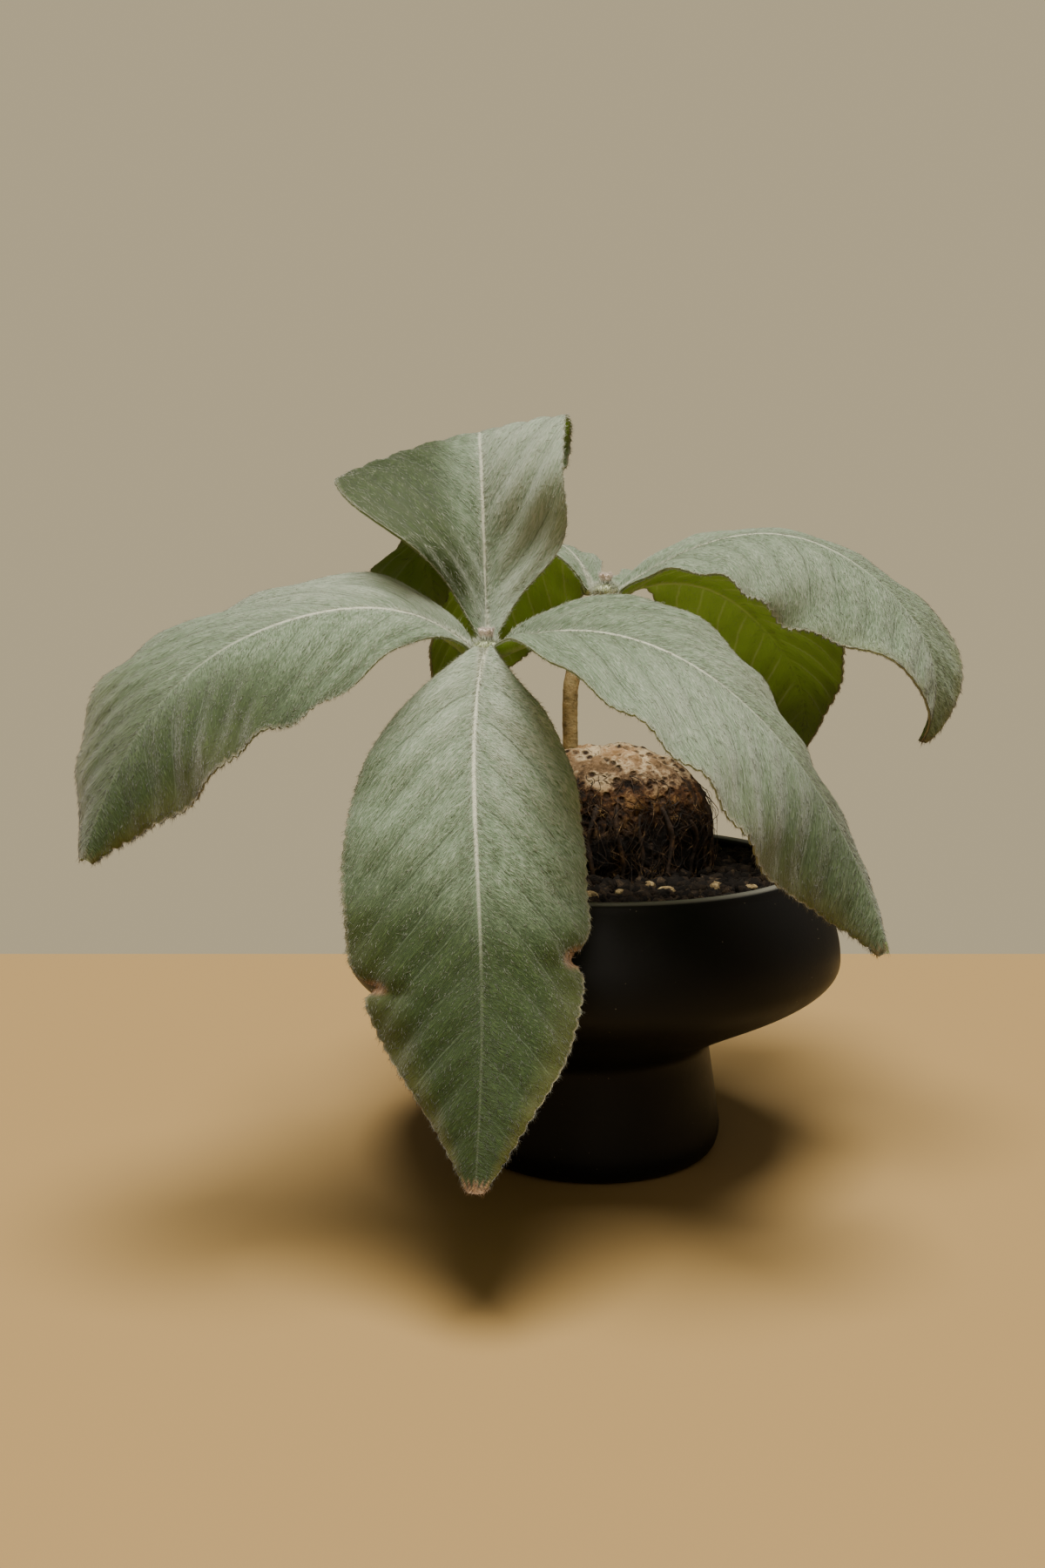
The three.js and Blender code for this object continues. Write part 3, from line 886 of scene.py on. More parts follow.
DARK_GRIT = ((0.25, 0x080605), (0.5, 0x130F0B), (0.68, 0x241C14), (0.82, 0x473B2C))
PEAT_BED = PottingGrit("Grit_peat_bed", DARK_GRIT)
PEAT_CRUMB = PottingGrit("Grit_peat_crumb", DARK_GRIT, 2.4)
PALE_STONE = PottingGrit("Grit_pale_stone", ((0.3, 0x463B28), (0.5, 0x6A5A3F), (0.75, 0x978763)), 1.4)
ROOT_BARK = Fibre("Root_bark", ((0.35, 0x120C07), (0.55, 0x2E1E10), (0.75, 0x6A4A28)), 6.0)
ROOT_HAIR = Fibre("Root_hair_golden", ((0.44, 0x110B06), (0.58, 0x402C16), (0.72, 0xAC8A55)), 3.5, 0.1)
BARK_SHADES = ((0.3, 0x4A3A1E), (0.43, 0x80704A), (0.58, 0x9F8B60), (0.72, 0x6C6840))
STEM_BARK = Fibre("Stem_blotched_bark", BARK_SHADES, 5.0)
STEM_TOP = Fibre("Stem_felted_top", ((0.3, 0x8C9A5C), (0.5, 0xB2BB93), (0.7, 0xD0D5BC)), 1.5)
DRY_STUB = Fibre("Stub_dry_brown", ((0.3, 0x1E140C), (0.5, 0x3B2817), (0.7, 0x6A4C2C)), 2.0)
BUD_SCALE = Fibre("Bud_woolly_scale", ((0.3, 0xC0AE9E), (0.5, 0xDFD3C7), (0.7, 0xF2EAE1)), 1.5)
BUD_WOOL = SilkHair("Wool_pinkish", 0xDDCFC4, 0xA98E72)


# Pot and soil


@dataclass
class Pot:
    """The black pedestal bowl."""

    radius: float = 75.0
    widest_z: float = 61.5
    height: float = 89.5
    rim_radius: float = 65.4
    foot_radius: float = 39.6
    foot_edge: float = 6.0
    neck_radius: float = 36.0
    neck_z: float = 34.5
    wall: float = 4.6
    floor: float = 6.0
    sides: int = 144
    inside_points: int = 24  # how many of the profile's last points lie inside, below the lip

    def profile(self) -> np.ndarray:
        """The pot's half section, from under the foot round the rim to the floor inside.

        Returns:
            Radius and height of each point.
        """
        r = self.radius
        wide = self.widest_z
        foot = self.foot_radius
        heel = self.foot_edge
        neck = self.neck_radius
        z = self.neck_z
        rim = self.rim_radius
        shoulder = self.height - 2
        crown = self.height + 0.6
        lip = rim - self.wall + 0.4
        inside = r - self.wall
        corner = foot - self.wall - 1
        curves = (
            (6, (foot - heel, 0)),
            (10, (foot - 2, 0), (foot, 2.5), (foot, heel + 2)),
            (8, (neck, z - 2)),
            (8, (neck, z + 1), (neck + 3.5, z + 2.6)),
            (26, (r - 20, 46.5), (r, 52.5), (r, wide)),
            (20, (r, 72), (rim + 4, 81), (rim, shoulder)),
            (10, (rim - 0.6, crown), (lip + 0.4, crown), (lip, shoulder)),
            (8, (rim, 81), (inside, 72), (inside, wide)),
            (6, (inside, 55.5), (inside - 20, 51), (neck - 1, z + 6.5)),
            (3, (neck - self.wall, z + 4.5), (neck - self.wall, z)),
            (2, (corner, self.floor + 5)),
            (3, (corner, self.floor), (corner - 5, self.floor)),
            (2, (0, self.floor)),
        )
        points = [np.zeros(2)]
        for count, *controls in curves:
            points.extend(bezier([points[-1], *controls], count))
        return np.array(points)

    def inner_radius(self, level: float) -> float:
        """Radius of the pot's inside at a height.

        Args:
            level: The height over the base.

        Returns:
            The radius.
        """
        inside = self.profile()[-self.inside_points :]
        order = np.argsort(inside[:, 1])
        return float(np.interp(level, inside[order, 1], inside[order, 0]))

    def build(self) -> None:
        """Make and dress the pot."""
        body = revolve(self.profile(), self.sides)
        make_piece("pot_bowl", body, SatinCeramic().build(), ("pot",))


@dataclass
class Caudex:
    """The tuber: a squat lobed dome with roots matted over its lower half."""

    centre: Point = (4.0, 6.0, 97.0)
    half: Point = (32.0, 24.0, 26.5)
    buried: float = 23.0
    square_above: float = 2.3
    square_below: float = 5.0
    soil_z: float = 84.0
    root_count: int = 20
    root_radius: float = 0.8
    fine_roots: int = 640
    rings: int = 110
    sides: int = 200

    def reach(self, d: np.ndarray) -> np.ndarray:
        """Distance from the centre to the skin.

        Args:
            d: Unit directions, one a row.

        Returns:
            The distance in each direction.
        """
        above = d[..., 2] > 0
        depth = np.where(above, self.half[2], self.buried)
        power = np.where(above, self.square_above, self.square_below)
        level = np.hypot(d[..., 0] / self.half[0], d[..., 1] / self.half[1])
        plain = (level**power + np.abs(d[..., 2] / depth) ** power) ** (-1 / power)
        turn = np.arctan2(d[..., 1], d[..., 0])
        across = d[..., 0] * 0.45 + d[..., 1] * 0.9
        top = np.maximum(d[..., 2], 0)
        groove = -0.085 * top * hump(across, 0.16, 0.1)
        back_lobe = 0.05 * top * hump(across, 0.4, 0.25)
        swell = 0.022 * np.sin(3 * turn + 4 * d[..., 2] + 1)
        lumps = 0.016 * np.sin(7 * turn - 5 * d[..., 2])
        return plain * (1 + groove + back_lobe + swell + lumps)

    def skin(self, d: np.ndarray, lift: np.ndarray | float = 0.0) -> np.ndarray:
        """Points on the skin in the given directions, raised by lift."""
        return np.asarray(self.centre) + d * (self.reach(d) + lift)[..., None]

    def strand(self, turn: np.ndarray, z: np.ndarray, lift: np.ndarray) -> np.ndarray:
        """A line over the skin.

        Args:
            turn: Its turns about the centre in radians.
            z: Its heights.
            lift: How far it stands off the skin.

        Returns:
            Its points.
        """
        low = np.full(np.shape(turn), -1.2)
        high = np.full(np.shape(turn), 1.4)
        for _ in range(24):
            tilt = (low + high) / 2
            d = np.stack([np.cos(turn) * np.cos(tilt), np.sin(turn) * np.cos(tilt), np.sin(tilt)], -1)
            below = d[..., 2] * self.reach(d) + self.centre[2] < z
            low = np.where(below, tilt, low)
            high = np.where(below, high, tilt)
        return self.skin(d, lift)

    def body(self) -> Body:
        """The tuber's skin, with its warts, pits and cracks in relief.

        Returns:
            The body.
        """
        d, faces = sphere(self.rings, self.sides)
        plain = self.skin(d)
        warts = waves(plain, 7, 3) * 0.5 + waves(plain, 3, 4) * 0.28
        creases = -0.5 * np.maximum(1 - np.abs(waves(plain, 14, 5)) * 12, 0)
        pits = -0.8 * smooth(waves(plain, 4.2, 6), 0.62, 0.85)
        shown = smooth(plain[:, 2], self.soil_z - 4, self.soil_z + 6)
        return self.skin(d, (warts + creases + pits) * shown), faces

    def thick_root(self, index: int, draw: Callable[[], float]) -> Body:
        """One of the solid part's main roots, rounder and smoother.

        Args:
            index: Its number.
            draw: Gives the next number of the row that the part's source draws from.

        Returns:
            The root.
        """
        turn = TURN * (index + 0.5 * draw()) / self.root_count
        top = 103 + 9 * draw()
        bottom = self.soil_z - 1 + 3 * draw()
        sway = 0.16 * (draw() - 0.5)
        radius = self.root_radius * (0.8 + 0.5 * draw())
        lifts = [0.8 * (i / 4) ** 2 * draw() for i in range(5)]
        t = np.linspace(0, 1, 26)
        wander = sway * t + 0.035 * np.sin(7 * t + index)
        lift = (0.15 - 1.15 * (1 - smooth(t, 0, 0.2))) * radius + along(lifts, t)
        path = self.strand(turn + wander, top + (bottom - top) * t, lift)
        uneven = 1 + 0.18 * np.sin(9 * t + index) + 0.1 * np.sin(23 * t)
        return sweep_tube(path, radius * uneven * (1 - 0.3 * t), 7)

    def fine_root(self, draw: np.random.Generator) -> Body:
        """A hair-thin root that wanders down the dark half. Some stand off it.

        Args:
            draw: Draws its course.

        Returns:
            The root.
        """
        turn = draw.uniform(0, TURN)
        top = draw.uniform(88, 116) if draw.random() < 0.8 else draw.uniform(100, 119)
        drop = draw.uniform(8, 26)
        t = np.linspace(0, 1, 18)
        drift = draw.normal(0, 0.22) * t
        wander = drift + 0.07 * np.sin(draw.uniform(5, 13) * t + draw.uniform(0, 6))
        z = np.maximum(top - drop * t + 0.9 * np.sin(draw.uniform(6, 16) * t + draw.uniform(0, 6)), 83.5)
        off = draw.uniform(0.1, 1.0) + draw.uniform(0, 2.2) * (draw.random() < 0.35)
        off = off + 0.7 * max(math.cos(turn), 0) ** 4 * draw.random()
        lift = -0.25 + off * np.sin(math.pi * np.clip(t * draw.uniform(0.7, 1.3), 0, 1)) ** 2
        path = self.strand(turn + wander, z, lift)
        return sweep_tube(path, draw.uniform(0.06, 0.17) * (1 - 0.6 * t), 4)

    def build(self) -> None:
        """Make and dress the tuber and its roots."""
        make_piece("caudex_skin", self.body(), Cork().build(), ("caudex",))
        thick = [self.thick_root(i, number_row(500 + 37 * i)) for i in range(self.root_count)]
        make_piece("caudex_roots", join_parts(thick), ROOT_BARK.build())
        draw = np.random.default_rng(77)
        fine = [self.fine_root(draw) for _ in range(self.fine_roots)]
        make_piece("caudex_fine_roots", join_parts(fine), ROOT_HAIR.build())


def number_row(seed: int) -> Callable[[], float]:
    """A plain row of random numbers from 0 to 1, the same as in the part's source.

    Args:
        seed: Where it starts.

    Returns:
        A function that gives the next one.
    """
    state = [seed]

    def draw() -> float:
        """The row's next number."""
        state[0] = (state[0] * 1664525 + 1013904223) % 2**32
        return state[0] / 2**32

    return draw


# Radius and height round the lower part of the soil.
SOIL_PLUG = ((0, 7), (30, 7), (31, 12), (30.5, 40), (36, 46), (60, 56), (67, 62), (67, 72), (63, 81))
# Place and half size of the pebbles in sight.
NEAR_PEBBLES = ((15, -26, 2.2), (19.5, -32.6, 2.1), (-3, -43, 2.2))
FAR_PEBBLES = ((44.6, -26, 1.6), (27, -24, 1.3), (6, -36, 1.4))


@dataclass
class Soil:
    """Dark grit filling the bowl to just under its rim."""

    caudex: Caudex
    pot: Pot
    level: float = 84.0
    mound: float = 1.6
    crumbs: int = 5200
    pebbles: int = 16
    rings: int = 46
    sides: int = 120

    def height(self, x: np.ndarray, y: np.ndarray) -> np.ndarray:
        """The soil's height over the base.

        Args:
            x: Places across.
            y: Places in depth.

        Returns:
            The height at each place.
        """
        reach = np.hypot(x - self.caudex.centre[0], y - self.caudex.centre[1])
        grain = np.sin(x * 1.31 + 2 * np.sin(y * 0.53)) * np.sin(y * 1.17 + 1.7 * np.sin(x * 0.61))
        return self.level + self.mound * hump(reach, 0, 42) + 0.55 * grain

    def wall_radius(self) -> float:
        """Radius of the pot's inside at the soil's level, less the gap."""
        return self.pot.inner_radius(self.level) - GAP

    def bed(self) -> Body:
        """A rough top over a plain plug that stays inside the pot.

        Returns:
            The soil's body.
        """
        wall = self.wall_radius()
        top = [(r, self.level) for r in wall * np.linspace(1, 0, self.rings + 1)]
        points, faces = revolve(np.array([*SOIL_PLUG, *top]), self.sides)
        reach = np.hypot(points[:, 0], points[:, 1])
        on_top = (points[:, 2] > self.level - 0.01) & (reach < wall - 0.8)
        rough = 0.45 * waves(points, 3.1, 21) + 0.25 * waves(points, 1.5, 22)
        points[:, 2] = np.where(on_top, self.height(points[:, 0], points[:, 1]) + rough, points[:, 2])
        return points, faces

    def stones(self, count: int, low: float, high: float, seed: int, sink: float) -> Body:
        """Loose angular grains lying on the bed.

        Args:
            count: How many.
            low: The smallest half size.
            high: The largest half size.
            seed: Draws their places and shapes.
            sink: How deep they sit, as a share of their half size.

        Returns:
            The grains as one body.
        """
        draw = np.random.default_rng(seed)
        reach = (self.wall_radius() - 1.2) * np.sqrt(draw.random(count))
        turn = TURN * draw.random(count)
        x = reach * np.cos(turn)
        y = reach * np.sin(turn)
        keep = np.hypot((x - self.caudex.centre[0]) / 31, (y - self.caudex.centre[1]) / 23) > 1
        x, y = x[keep], y[keep]
        size = low + (high - low) * draw.random(len(x)) ** 2.2
        ball, from_ball = twenty_faced()
        shape = ball[None] * (1 + 0.25 * draw.normal(size=(len(x), 12, 1)))
        shape = shape * draw.uniform(0.65, 1.15, size=(len(x), 1, 3))
        shape = rotate_all(shape, draw.normal(size=(len(x), 4))) * size[:, None, None]
        z = self.height(x, y) + 0.3 * size * (1 - sink)
        points = shape + np.stack([x, y, z], -1)[:, None]
        faces = (np.arange(len(x))[:, None, None] * 12 + from_ball).reshape(-1, 3)
        return points.reshape(-1, 3), [faces]

    def shown_pebbles(self) -> list[Body]:
        """The pale pebbles that lie in sight behind the front of the rim.

        Returns:
            Each as a body.
        """
        draw = np.random.default_rng(53)
        parts = []
        for x, y, size in NEAR_PEBBLES + FAR_PEBBLES:
            ball, faces = sphere(7, 12)
            shape = ball * (size * np.array([1.15, 0.9, 0.7]) * draw.uniform(0.85, 1.15, 3))
            shape = shape * (1 + 0.1 * waves(shape, 2.2, int(10 * size)))[:, None]
            z = self.height(np.array(x), np.array(y)) + 0.6 * size + 0.7
            parts.append((shape + [x, y, float(z)], faces))
        return parts

    def build(self) -> None:
        """Make and dress the bed, the crumbs and the pebbles."""
        make_piece("soil_bed", self.bed(), PEAT_BED.build(), ("soil",))
        crumbs = self.stones(self.crumbs, low=0.5, high=3.1, seed=31, sink=0.1)
        make_piece("soil_crumbs", crumbs, PEAT_CRUMB.build())
        pebbles = [self.stones(self.pebbles, low=0.9, high=2.3, seed=47, sink=-0.6), *self.shown_pebbles()]
        make_piece("soil_pebbles", join_parts(pebbles), PALE_STONE.build())


# Stems and buds

HUB_RADIUS = 4.0
HUB_FLATNESS = 0.6
FRONT_HUB = (-31.7, -40.0, 155.6)
REAR_HUB = (4.4, 22.0, 170.8)
FRONT_PATH = ((-13.5, -9, 115), (-15.5, -13, 126), (-21, -22, 138), (-28.5, -34, 149), FRONT_HUB)
REAR_PATH = ((-6.5, 9, 117), (-7, 10, 130), (-6.5, 11.5, 143), (-2, 16, 158), REAR_HUB)


@dataclass
class Stem:
    """A short bare stem with a swollen top that carries one whorl."""

    node: str
    path: tuple[Point, ...]
    bark: Material
    top: Material
    hair: Material
    seed: int
    radius: float = 2.35
    fur: int = 1700
    rings: int = 90
    sides: int = 20

    def middle(self, t: np.ndarray) -> np.ndarray:
        """The stem's middle line: a smooth curve whose pace follows the gaps between its points.

        Args:
            t: Shares of the way from its foot to its top.

        Returns:
            Points, one a row.
        """
        way = np.asarray(self.path, float)
        steps = np.concatenate([[0], np.cumsum(np.sqrt(np.linalg.norm(np.diff(way, axis=0), axis=1)))])
        x = t * steps[-1]
        padded = np.concatenate([[2 * way[0] - way[1]], way, [2 * way[-1] - way[-2]]])
        knots = np.concatenate([[-steps[1]], steps, [2 * steps[-1] - steps[-2]]])
        i = np.clip(np.searchsorted(steps, x, side="right") - 1, 0, len(steps) - 2)
        rows = [padded[i + n] for n in range(4)]
        at = [knots[i + n][:, None] for n in range(4)]
        x = x[:, None]
        for span in (1, 2, 3):
            # Each pass blends neighbours over a longer span, the last one between the middle knots.
            ends = [(n, n + span) for n in range(4 - span)] if span < 3 else [(1, 2)]
            rows = [
                ((at[high] - x) * rows[n] + (x - at[low]) * rows[n + 1]) / (at[high] - at[low])
                for n, (low, high) in enumerate(ends)
            ]
        return rows[0]

    def build(self) -> None:
        """Make and dress the stem and its furry top."""
        t = np.linspace(0, 1, self.rings)
        turn = np.linspace(0, TURN, self.sides, endpoint=False)
        a, b = np.meshgrid(t * 50, turn * 2.3, indexing="ij")
        spots = np.stack([a, b, np.zeros_like(a)], -1)
        uneven = 1 + 0.05 * waves(spots, 5, self.seed) + 0.03 * waves(spots, 1.6, self.seed + 1)
        stem = sweep_tube(self.middle(t), self.radius * uneven, self.sides)
        make_piece(self.node + "_bark", stem, self.bark, (self.node,))
        d, faces = sphere(24, 36)
        swell = HUB_RADIUS * (1 + 0.03 * waves(d * 10, 4, self.seed + 5))
        hub = np.asarray(self.path[-1])
        points = hub + d * swell[:, None] * np.array([1, 1, HUB_FLATNESS])
        make_piece(self.node + "_hub", (points, faces), self.top, (self.node,))
        draw = np.random.default_rng(self.seed)
        roots = points[draw.integers(0, len(points), self.fur)]
        ways = unit(roots - hub) + draw.normal(0, 0.6, (self.fur, 3)) + [0, 0, 0.2]
        fur = Hairs(roots, ways, draw.uniform(0.8, 2.7, self.fur), 0.14)
        fur.build(self.node + "_fur", "wool", self.hair)


@dataclass
class Stub:
    """The dried, shrunken base of a fallen leaf, under the rear whorl."""

    hub: Point = REAR_HUB
    turn: float = 238.0
    drop: float = 3.5
    length: float = 5.5
    radius: float = 1.55

    def build(self) -> None:
        """Make and dress the stub."""
        turn = math.radians(self.turn)
        way = np.array([math.cos(turn), math.sin(turn), -0.15])
        t = np.linspace(0, 1, 14)[:, None]
        path = np.asarray(self.hub) + [0, 0, -self.drop] + way * self.length * t
        ring = np.linspace(0, TURN, 12, endpoint=False)
        folds = 1 + 0.22 * np.sin(5 * ring)[None] * t + 0.15 * np.sin(9 * t)
        tube = sweep_tube(path, self.radius * folds * (1 - 0.25 * t**3), 12)
        make_piece("stem_dried_stub", tube, DRY_STUB.build())


@dataclass
class Bud:
    """A tight growing tip wrapped in pinkish white wool."""

    node: str
    hub: Point
    skin: Material
    wool: Material
    seed: int
    half_height: float = 1.26
    half_width: float = 1.8
    scales: int = 6
    scale_half: Point = (0.6, 0.85, 1.2)
    scale_out: float = 1.2
    scale_up: float = 0.4
    lean: float = 0.5
    hairs: int = 900

    def build(self) -> None:
        """Make and dress the bud and its wool."""
        middle = np.asarray(self.hub) + [0, 0, HUB_FLATNESS * HUB_RADIUS + GAP + self.half_height]
        ball, faces = sphere(14, 20)
        parts = [(ball * [self.half_width, self.half_width, self.half_height], faces)]
        cos, sin = math.cos(self.lean), math.sin(self.lean)
        for i in range(self.scales):
            turn = TURN * i / self.scales
            ball, faces = sphere(10, 12)
            x, y, z = (ball * self.scale_half).T
            x, z = x * cos + z * sin + self.scale_out, z * cos - x * sin + self.scale_up
            x, y = x * math.cos(turn) - y * math.sin(turn), x * math.sin(turn) + y * math.cos(turn)
            parts.append((np.stack([x, y, z], -1), faces))
        points, faces = join_parts(parts)
        make_piece(self.node + "_scales", (points + middle, faces), self.skin, (self.node,))
        draw = np.random.default_rng(self.seed)
        roots = points[draw.integers(0, len(points), self.hairs)] * 0.97
        ways = unit(roots) + draw.normal(0, 0.7, roots.shape) + [0, 0, -0.05]
        wool = Hairs(roots + middle, ways, draw.uniform(0.5, 1.5, self.hairs), 0.11)
        wool.build(self.node + "_wool", "wool", self.wool)


# Leaves

BLADE_OUTLINE = (0.08, 0.34, 0.64, 0.85, 0.96, 1, 0.97, 0.87, 0.68, 0.38, 0.07)
BROAD_OUTLINE = (0.08, 0.43, 0.89, 0.98, 0.98, 1.03, 0.97, 0.87, 0.68, 0.38, 0.07)
INNER_SHARES = (0.025, 0.06, 0.1, 0.145, 0.195, 0.25, 0.31, 0.37, 0.43, 0.49, 0.55)
OUTER_SHARES = (0.61, 0.67, 0.73, 0.785, 0.84, 0.89, 0.935, 0.97, 0.99, 1.0)


@dataclass(frozen=True)
class Nick:
    """An old tear in a margin, healed brown: its place and width are shares of the leaf's length."""

    side: Side
    at: float
    depth: float
    width: float


@dataclass
class Leaf:
    """One leaf. Lists run from its base to its tip in equal steps, in degrees.

    heading turns from +X towards +Y, pitch is above level, roll lifts the left side, fold lifts
    both halves at the midrib, and curl bends each half on from there to its margin. The bareness
    numbers give how thin the felt is, the left and right ones more towards a margin; they also paint
    shade and light, darkening or paling a stretch or half of the blade for how the light falls on it.
    """

    node: str
    hub: Point
    start: float
    length: float
    half: tuple[float, float]
    pitch: list[float]
    heading: list[float]
    roll: list[float]
    fold: list[float]
    curl: list[float]
    sweep: float
    wave: tuple[float, float]
    seed: int
    clear: float = 0.5
    outline: tuple[float, ...] = BLADE_OUTLINE
    nicks: tuple[Nick, ...] = ()
    bare_and_shade: tuple[float, ...] = (0.3, 0.2, 0.35, 0.5, 0.8)
    bare_and_shade_left: float = 0.0
    bare_and_shade_right: float = 0.0
    quilt: float = 0.85
    tip_scorch: float = 0.0
    skin: float = 0.45
    rib_depth: float = 1.7
    tooth_pitch: float = 3.1
    tooth_depth: float = 0.85
    tooth_start: float = 0.36
    tooth_peak: float = 0.68
    rows: int = 240
    steps: int = 80
    upper_hairs: int = 9500
    lower_hairs: int = 2600
    margin_hairs: int = 900
    rib_hairs: int = 900
    hair_width: float = 0.12
    hair_shortest: float = 0.5
    hair_longest: float = 2.7
    fringe_longest: float = 1.7
    hair_rise: tuple[float, float] = (0.03, 0.2)
    hair_scatter: float = 0.4
    hair_sink: float = 0.05

    def shares(self) -> np.ndarray:
        """Signed shares from the right margin over the midrib to the left margin."""
        half = np.array(INNER_SHARES + OUTER_SHARES)
        return np.concatenate([-half[::-1], [0.0], half])

    def frames(self, t: np.ndarray) -> tuple[np.ndarray, np.ndarray, np.ndarray]:
        """The ways ahead, left and up.

        Args:
            t: Places along the leaf.

        Returns:
            Three arrays of unit vectors.
        """
        heading = np.radians(along(self.heading, t))
        pitch = np.radians(along(self.pitch, t))
        roll = np.radians(along(self.roll, t))[:, None]
        flat = np.cos(pitch)
        ahead = np.stack([flat * np.cos(heading), flat * np.sin(heading), np.sin(pitch)], -1)
        level = np.stack([-np.sin(heading), np.cos(heading), np.zeros_like(heading)], -1)
        over = np.cross(ahead, level)
        left = level * np.cos(roll) + over * np.sin(roll)
        return ahead, left, over * np.cos(roll) - level * np.sin(roll)

    def midrib(self, t: np.ndarray) -> np.ndarray:
        """The midrib's points.

        Args:
            t: Places along the leaf.

        Returns:
            Points, one a row.
        """
        turn = math.radians(self.start)
        way = np.array([math.cos(turn), math.sin(turn), 0])
        base = np.asarray(self.hub) + (HUB_RADIUS + self.clear) * way
        ahead, _, _ = self.frames((np.arange(self.steps) + 0.5) / self.steps)
        line = np.concatenate([[base], base + np.cumsum(ahead * self.length / self.steps, axis=0)])
        x = np.clip(t, 0, 1) * self.steps
        i = np.minimum(x.astype(int), self.steps - 1)
        f = (x - i)[:, None]
        return line[i] * (1 - f) + line[i + 1] * f

    def half_width(self, t: np.ndarray, side: Side) -> np.ndarray:
        """Distance from the midrib to the uncut margin, across the blade."""
        return along(self.outline, t) * self.half[0 if side is Side.LEFT else 1]

    def margin(self, t: np.ndarray, side: Side) -> np.ndarray:
        """How far out the margin stands: less between rounded teeth and in a nick.

        Args:
            t: Places along the leaf.
            side: Which margin.

        Returns:
            The share of the half width that is there.
        """
        draw = np.random.default_rng(self.seed * 7 + side.value)
        width = self.half_width(t, side)
        teeth = round((1 - self.tooth_start) * self.length / self.tooth_pitch)
        x = (t - self.tooth_start) / (1 - self.tooth_start) * teeth
        number = np.floor(x).astype(int)
        f = x - number
        # A tooth rises over its first two thirds and drops off more steeply.
        peak = self.tooth_peak
        rising = np.sin(np.clip(f / peak, 0, 1) * math.pi / 2) ** 0.75
        falling = np.cos(np.clip((f - peak) / (1 - peak), 0, 1) * math.pi / 2) ** 0.8
        lobe = np.where(f < peak, rising, falling)
        size = draw.uniform(0.5, 1.3, 200)[number + 60]
        size = size * (0.3 + 0.7 * smooth(t, self.tooth_start - 0.1, self.tooth_start + 0.12))
        size = size * smooth(t, 0.08, 0.2)
        cut = np.minimum(self.tooth_depth, 0.1 * width) * size * (1 - lobe)
        for nick in (n for n in self.nicks if n.side is side):
            ragged = 1 + 0.12 * np.sin(t * 400) + 0.08 * np.sin(t * 911)
            reach = np.abs((t - nick.at) / nick.width)
            cut = np.maximum(cut, nick.depth * ragged * np.exp(-(reach**1.5)))
        return 1 - cut / width

    def surface(self) -> dict[str, np.ndarray]:
        """Everything about the blade's middle layer on its grid.

        Returns:
            Arrays by name, rows along the leaf and columns from the right margin to the left.
        """
        row_t = np.linspace(0, 1, self.rows)
        t = row_t[:, None]
        u = self.shares()[None]
        is_left = u >= 0
        sign = np.where(is_left, 1.0, -1.0)
        inner = np.abs(u)
        margins = [self.margin(row_t, side)[:, None] for side in Side]
        widths = [self.half_width(row_t, side)[:, None] for side in Side]
        margin = np.where(is_left, *margins)
        width = np.where(is_left, *widths)
        # The cut comes mostly out of the outer third, so that the veins inside don't zigzag.
        share = inner * (1 - (1 - margin) * smooth(inner, 0.55, 1.0))
        off = share * width
        t_all = t + 0 * share
        fold = np.radians(along(self.fold, t))
        curl = np.minimum(np.radians(along(self.curl, t)), -1e-4)
        bend = curl * share
        out = (np.sin(fold + bend) - np.sin(fold)) / curl * width
        rise = (np.cos(fold) - np.cos(fold + bend)) / curl * width
        beat = TURN * self.wave[1] * t + np.where(is_left, 0, 2)
        ripple = self.wave[0] * share**2 * np.sin(beat) * np.sin(math.pi * t)
        # The same number all along a side vein's line, in mm.
        vein = t * self.length - off - 0.008 * off * off
        phase = vein / VEIN_PITCH + VEIN_OFFSET * sign
        fade = smooth(t, 0.03, 0.15) * (1 - 0.6 * smooth(t, 0.75, 1.0))
        fade = np.clip(off / 6, 0, 1) * smooth(1 - share, 0.0, 0.3) * fade
        puff = -0.5 * np.cos(TURN * phase) * fade
        trough = -0.5 * hump(off, 0, 2.6) * (1 - 0.7 * t)
        ahead, left, up = (way[:, None] for way in self.frames(row_t))
        middle = self.midrib(row_t)[:, None] + left * (sign * out)[..., None]
        middle = middle + up * (rise + ripple)[..., None]
        middle = middle + ahead * (self.sweep * share**2 * width)[..., None]
        middle = middle + up * (0.35 * waves(middle, 17, self.seed) * share)[..., None]
        relief = self.quilt * puff * (0.6 + 0.8 * share) + trough + self.pucker(t, share, is_left)
        middle = middle + self.normals(middle) * relief[..., None]
        return {
            "t": t_all,
            "share": share / np.maximum(margin, 1e-6),
            "off": off * sign,
            "vein": vein,
            "near_vein": np.abs((phase + 0.5) % 1 - 0.5) * VEIN_PITCH,
            "puff": 0.5 + puff,
            "fade": fade,
            "middle": middle,
            "normal": self.normals(middle),
            "scorch": self.scorch(t_all, share, is_left),
        }

    def pucker(self, t: np.ndarray, share: np.ndarray, is_left: np.ndarray) -> np.ndarray:
        """Relief round the nicks: a valley that runs in from each, with a swelling before it.

        Args:
            t: Places along the leaf.
            share: Shares of the way to the margin.
            is_left: Whether each place is on the left half.

        Returns:
            The relief in mm.
        """
        relief = 0 * share
        for nick in self.nicks:
            here = is_left == (nick.side is Side.LEFT)
            valley = hump(t - 0.03 * (1 - share), nick.at, 1.3 * nick.width)
            swell = hump(t, nick.at - 3 * nick.width, 2.2 * nick.width)
            relief = relief + here * smooth(share, 0.3, 0.95) * (1.1 * swell - 1.5 * valley)
        return relief

    def normals(self, grid: np.ndarray) -> np.ndarray:
        """The upper face's outward ways on a grid of points."""
        return unit(np.cross(np.gradient(grid, axis=0), np.gradient(grid, axis=1)))

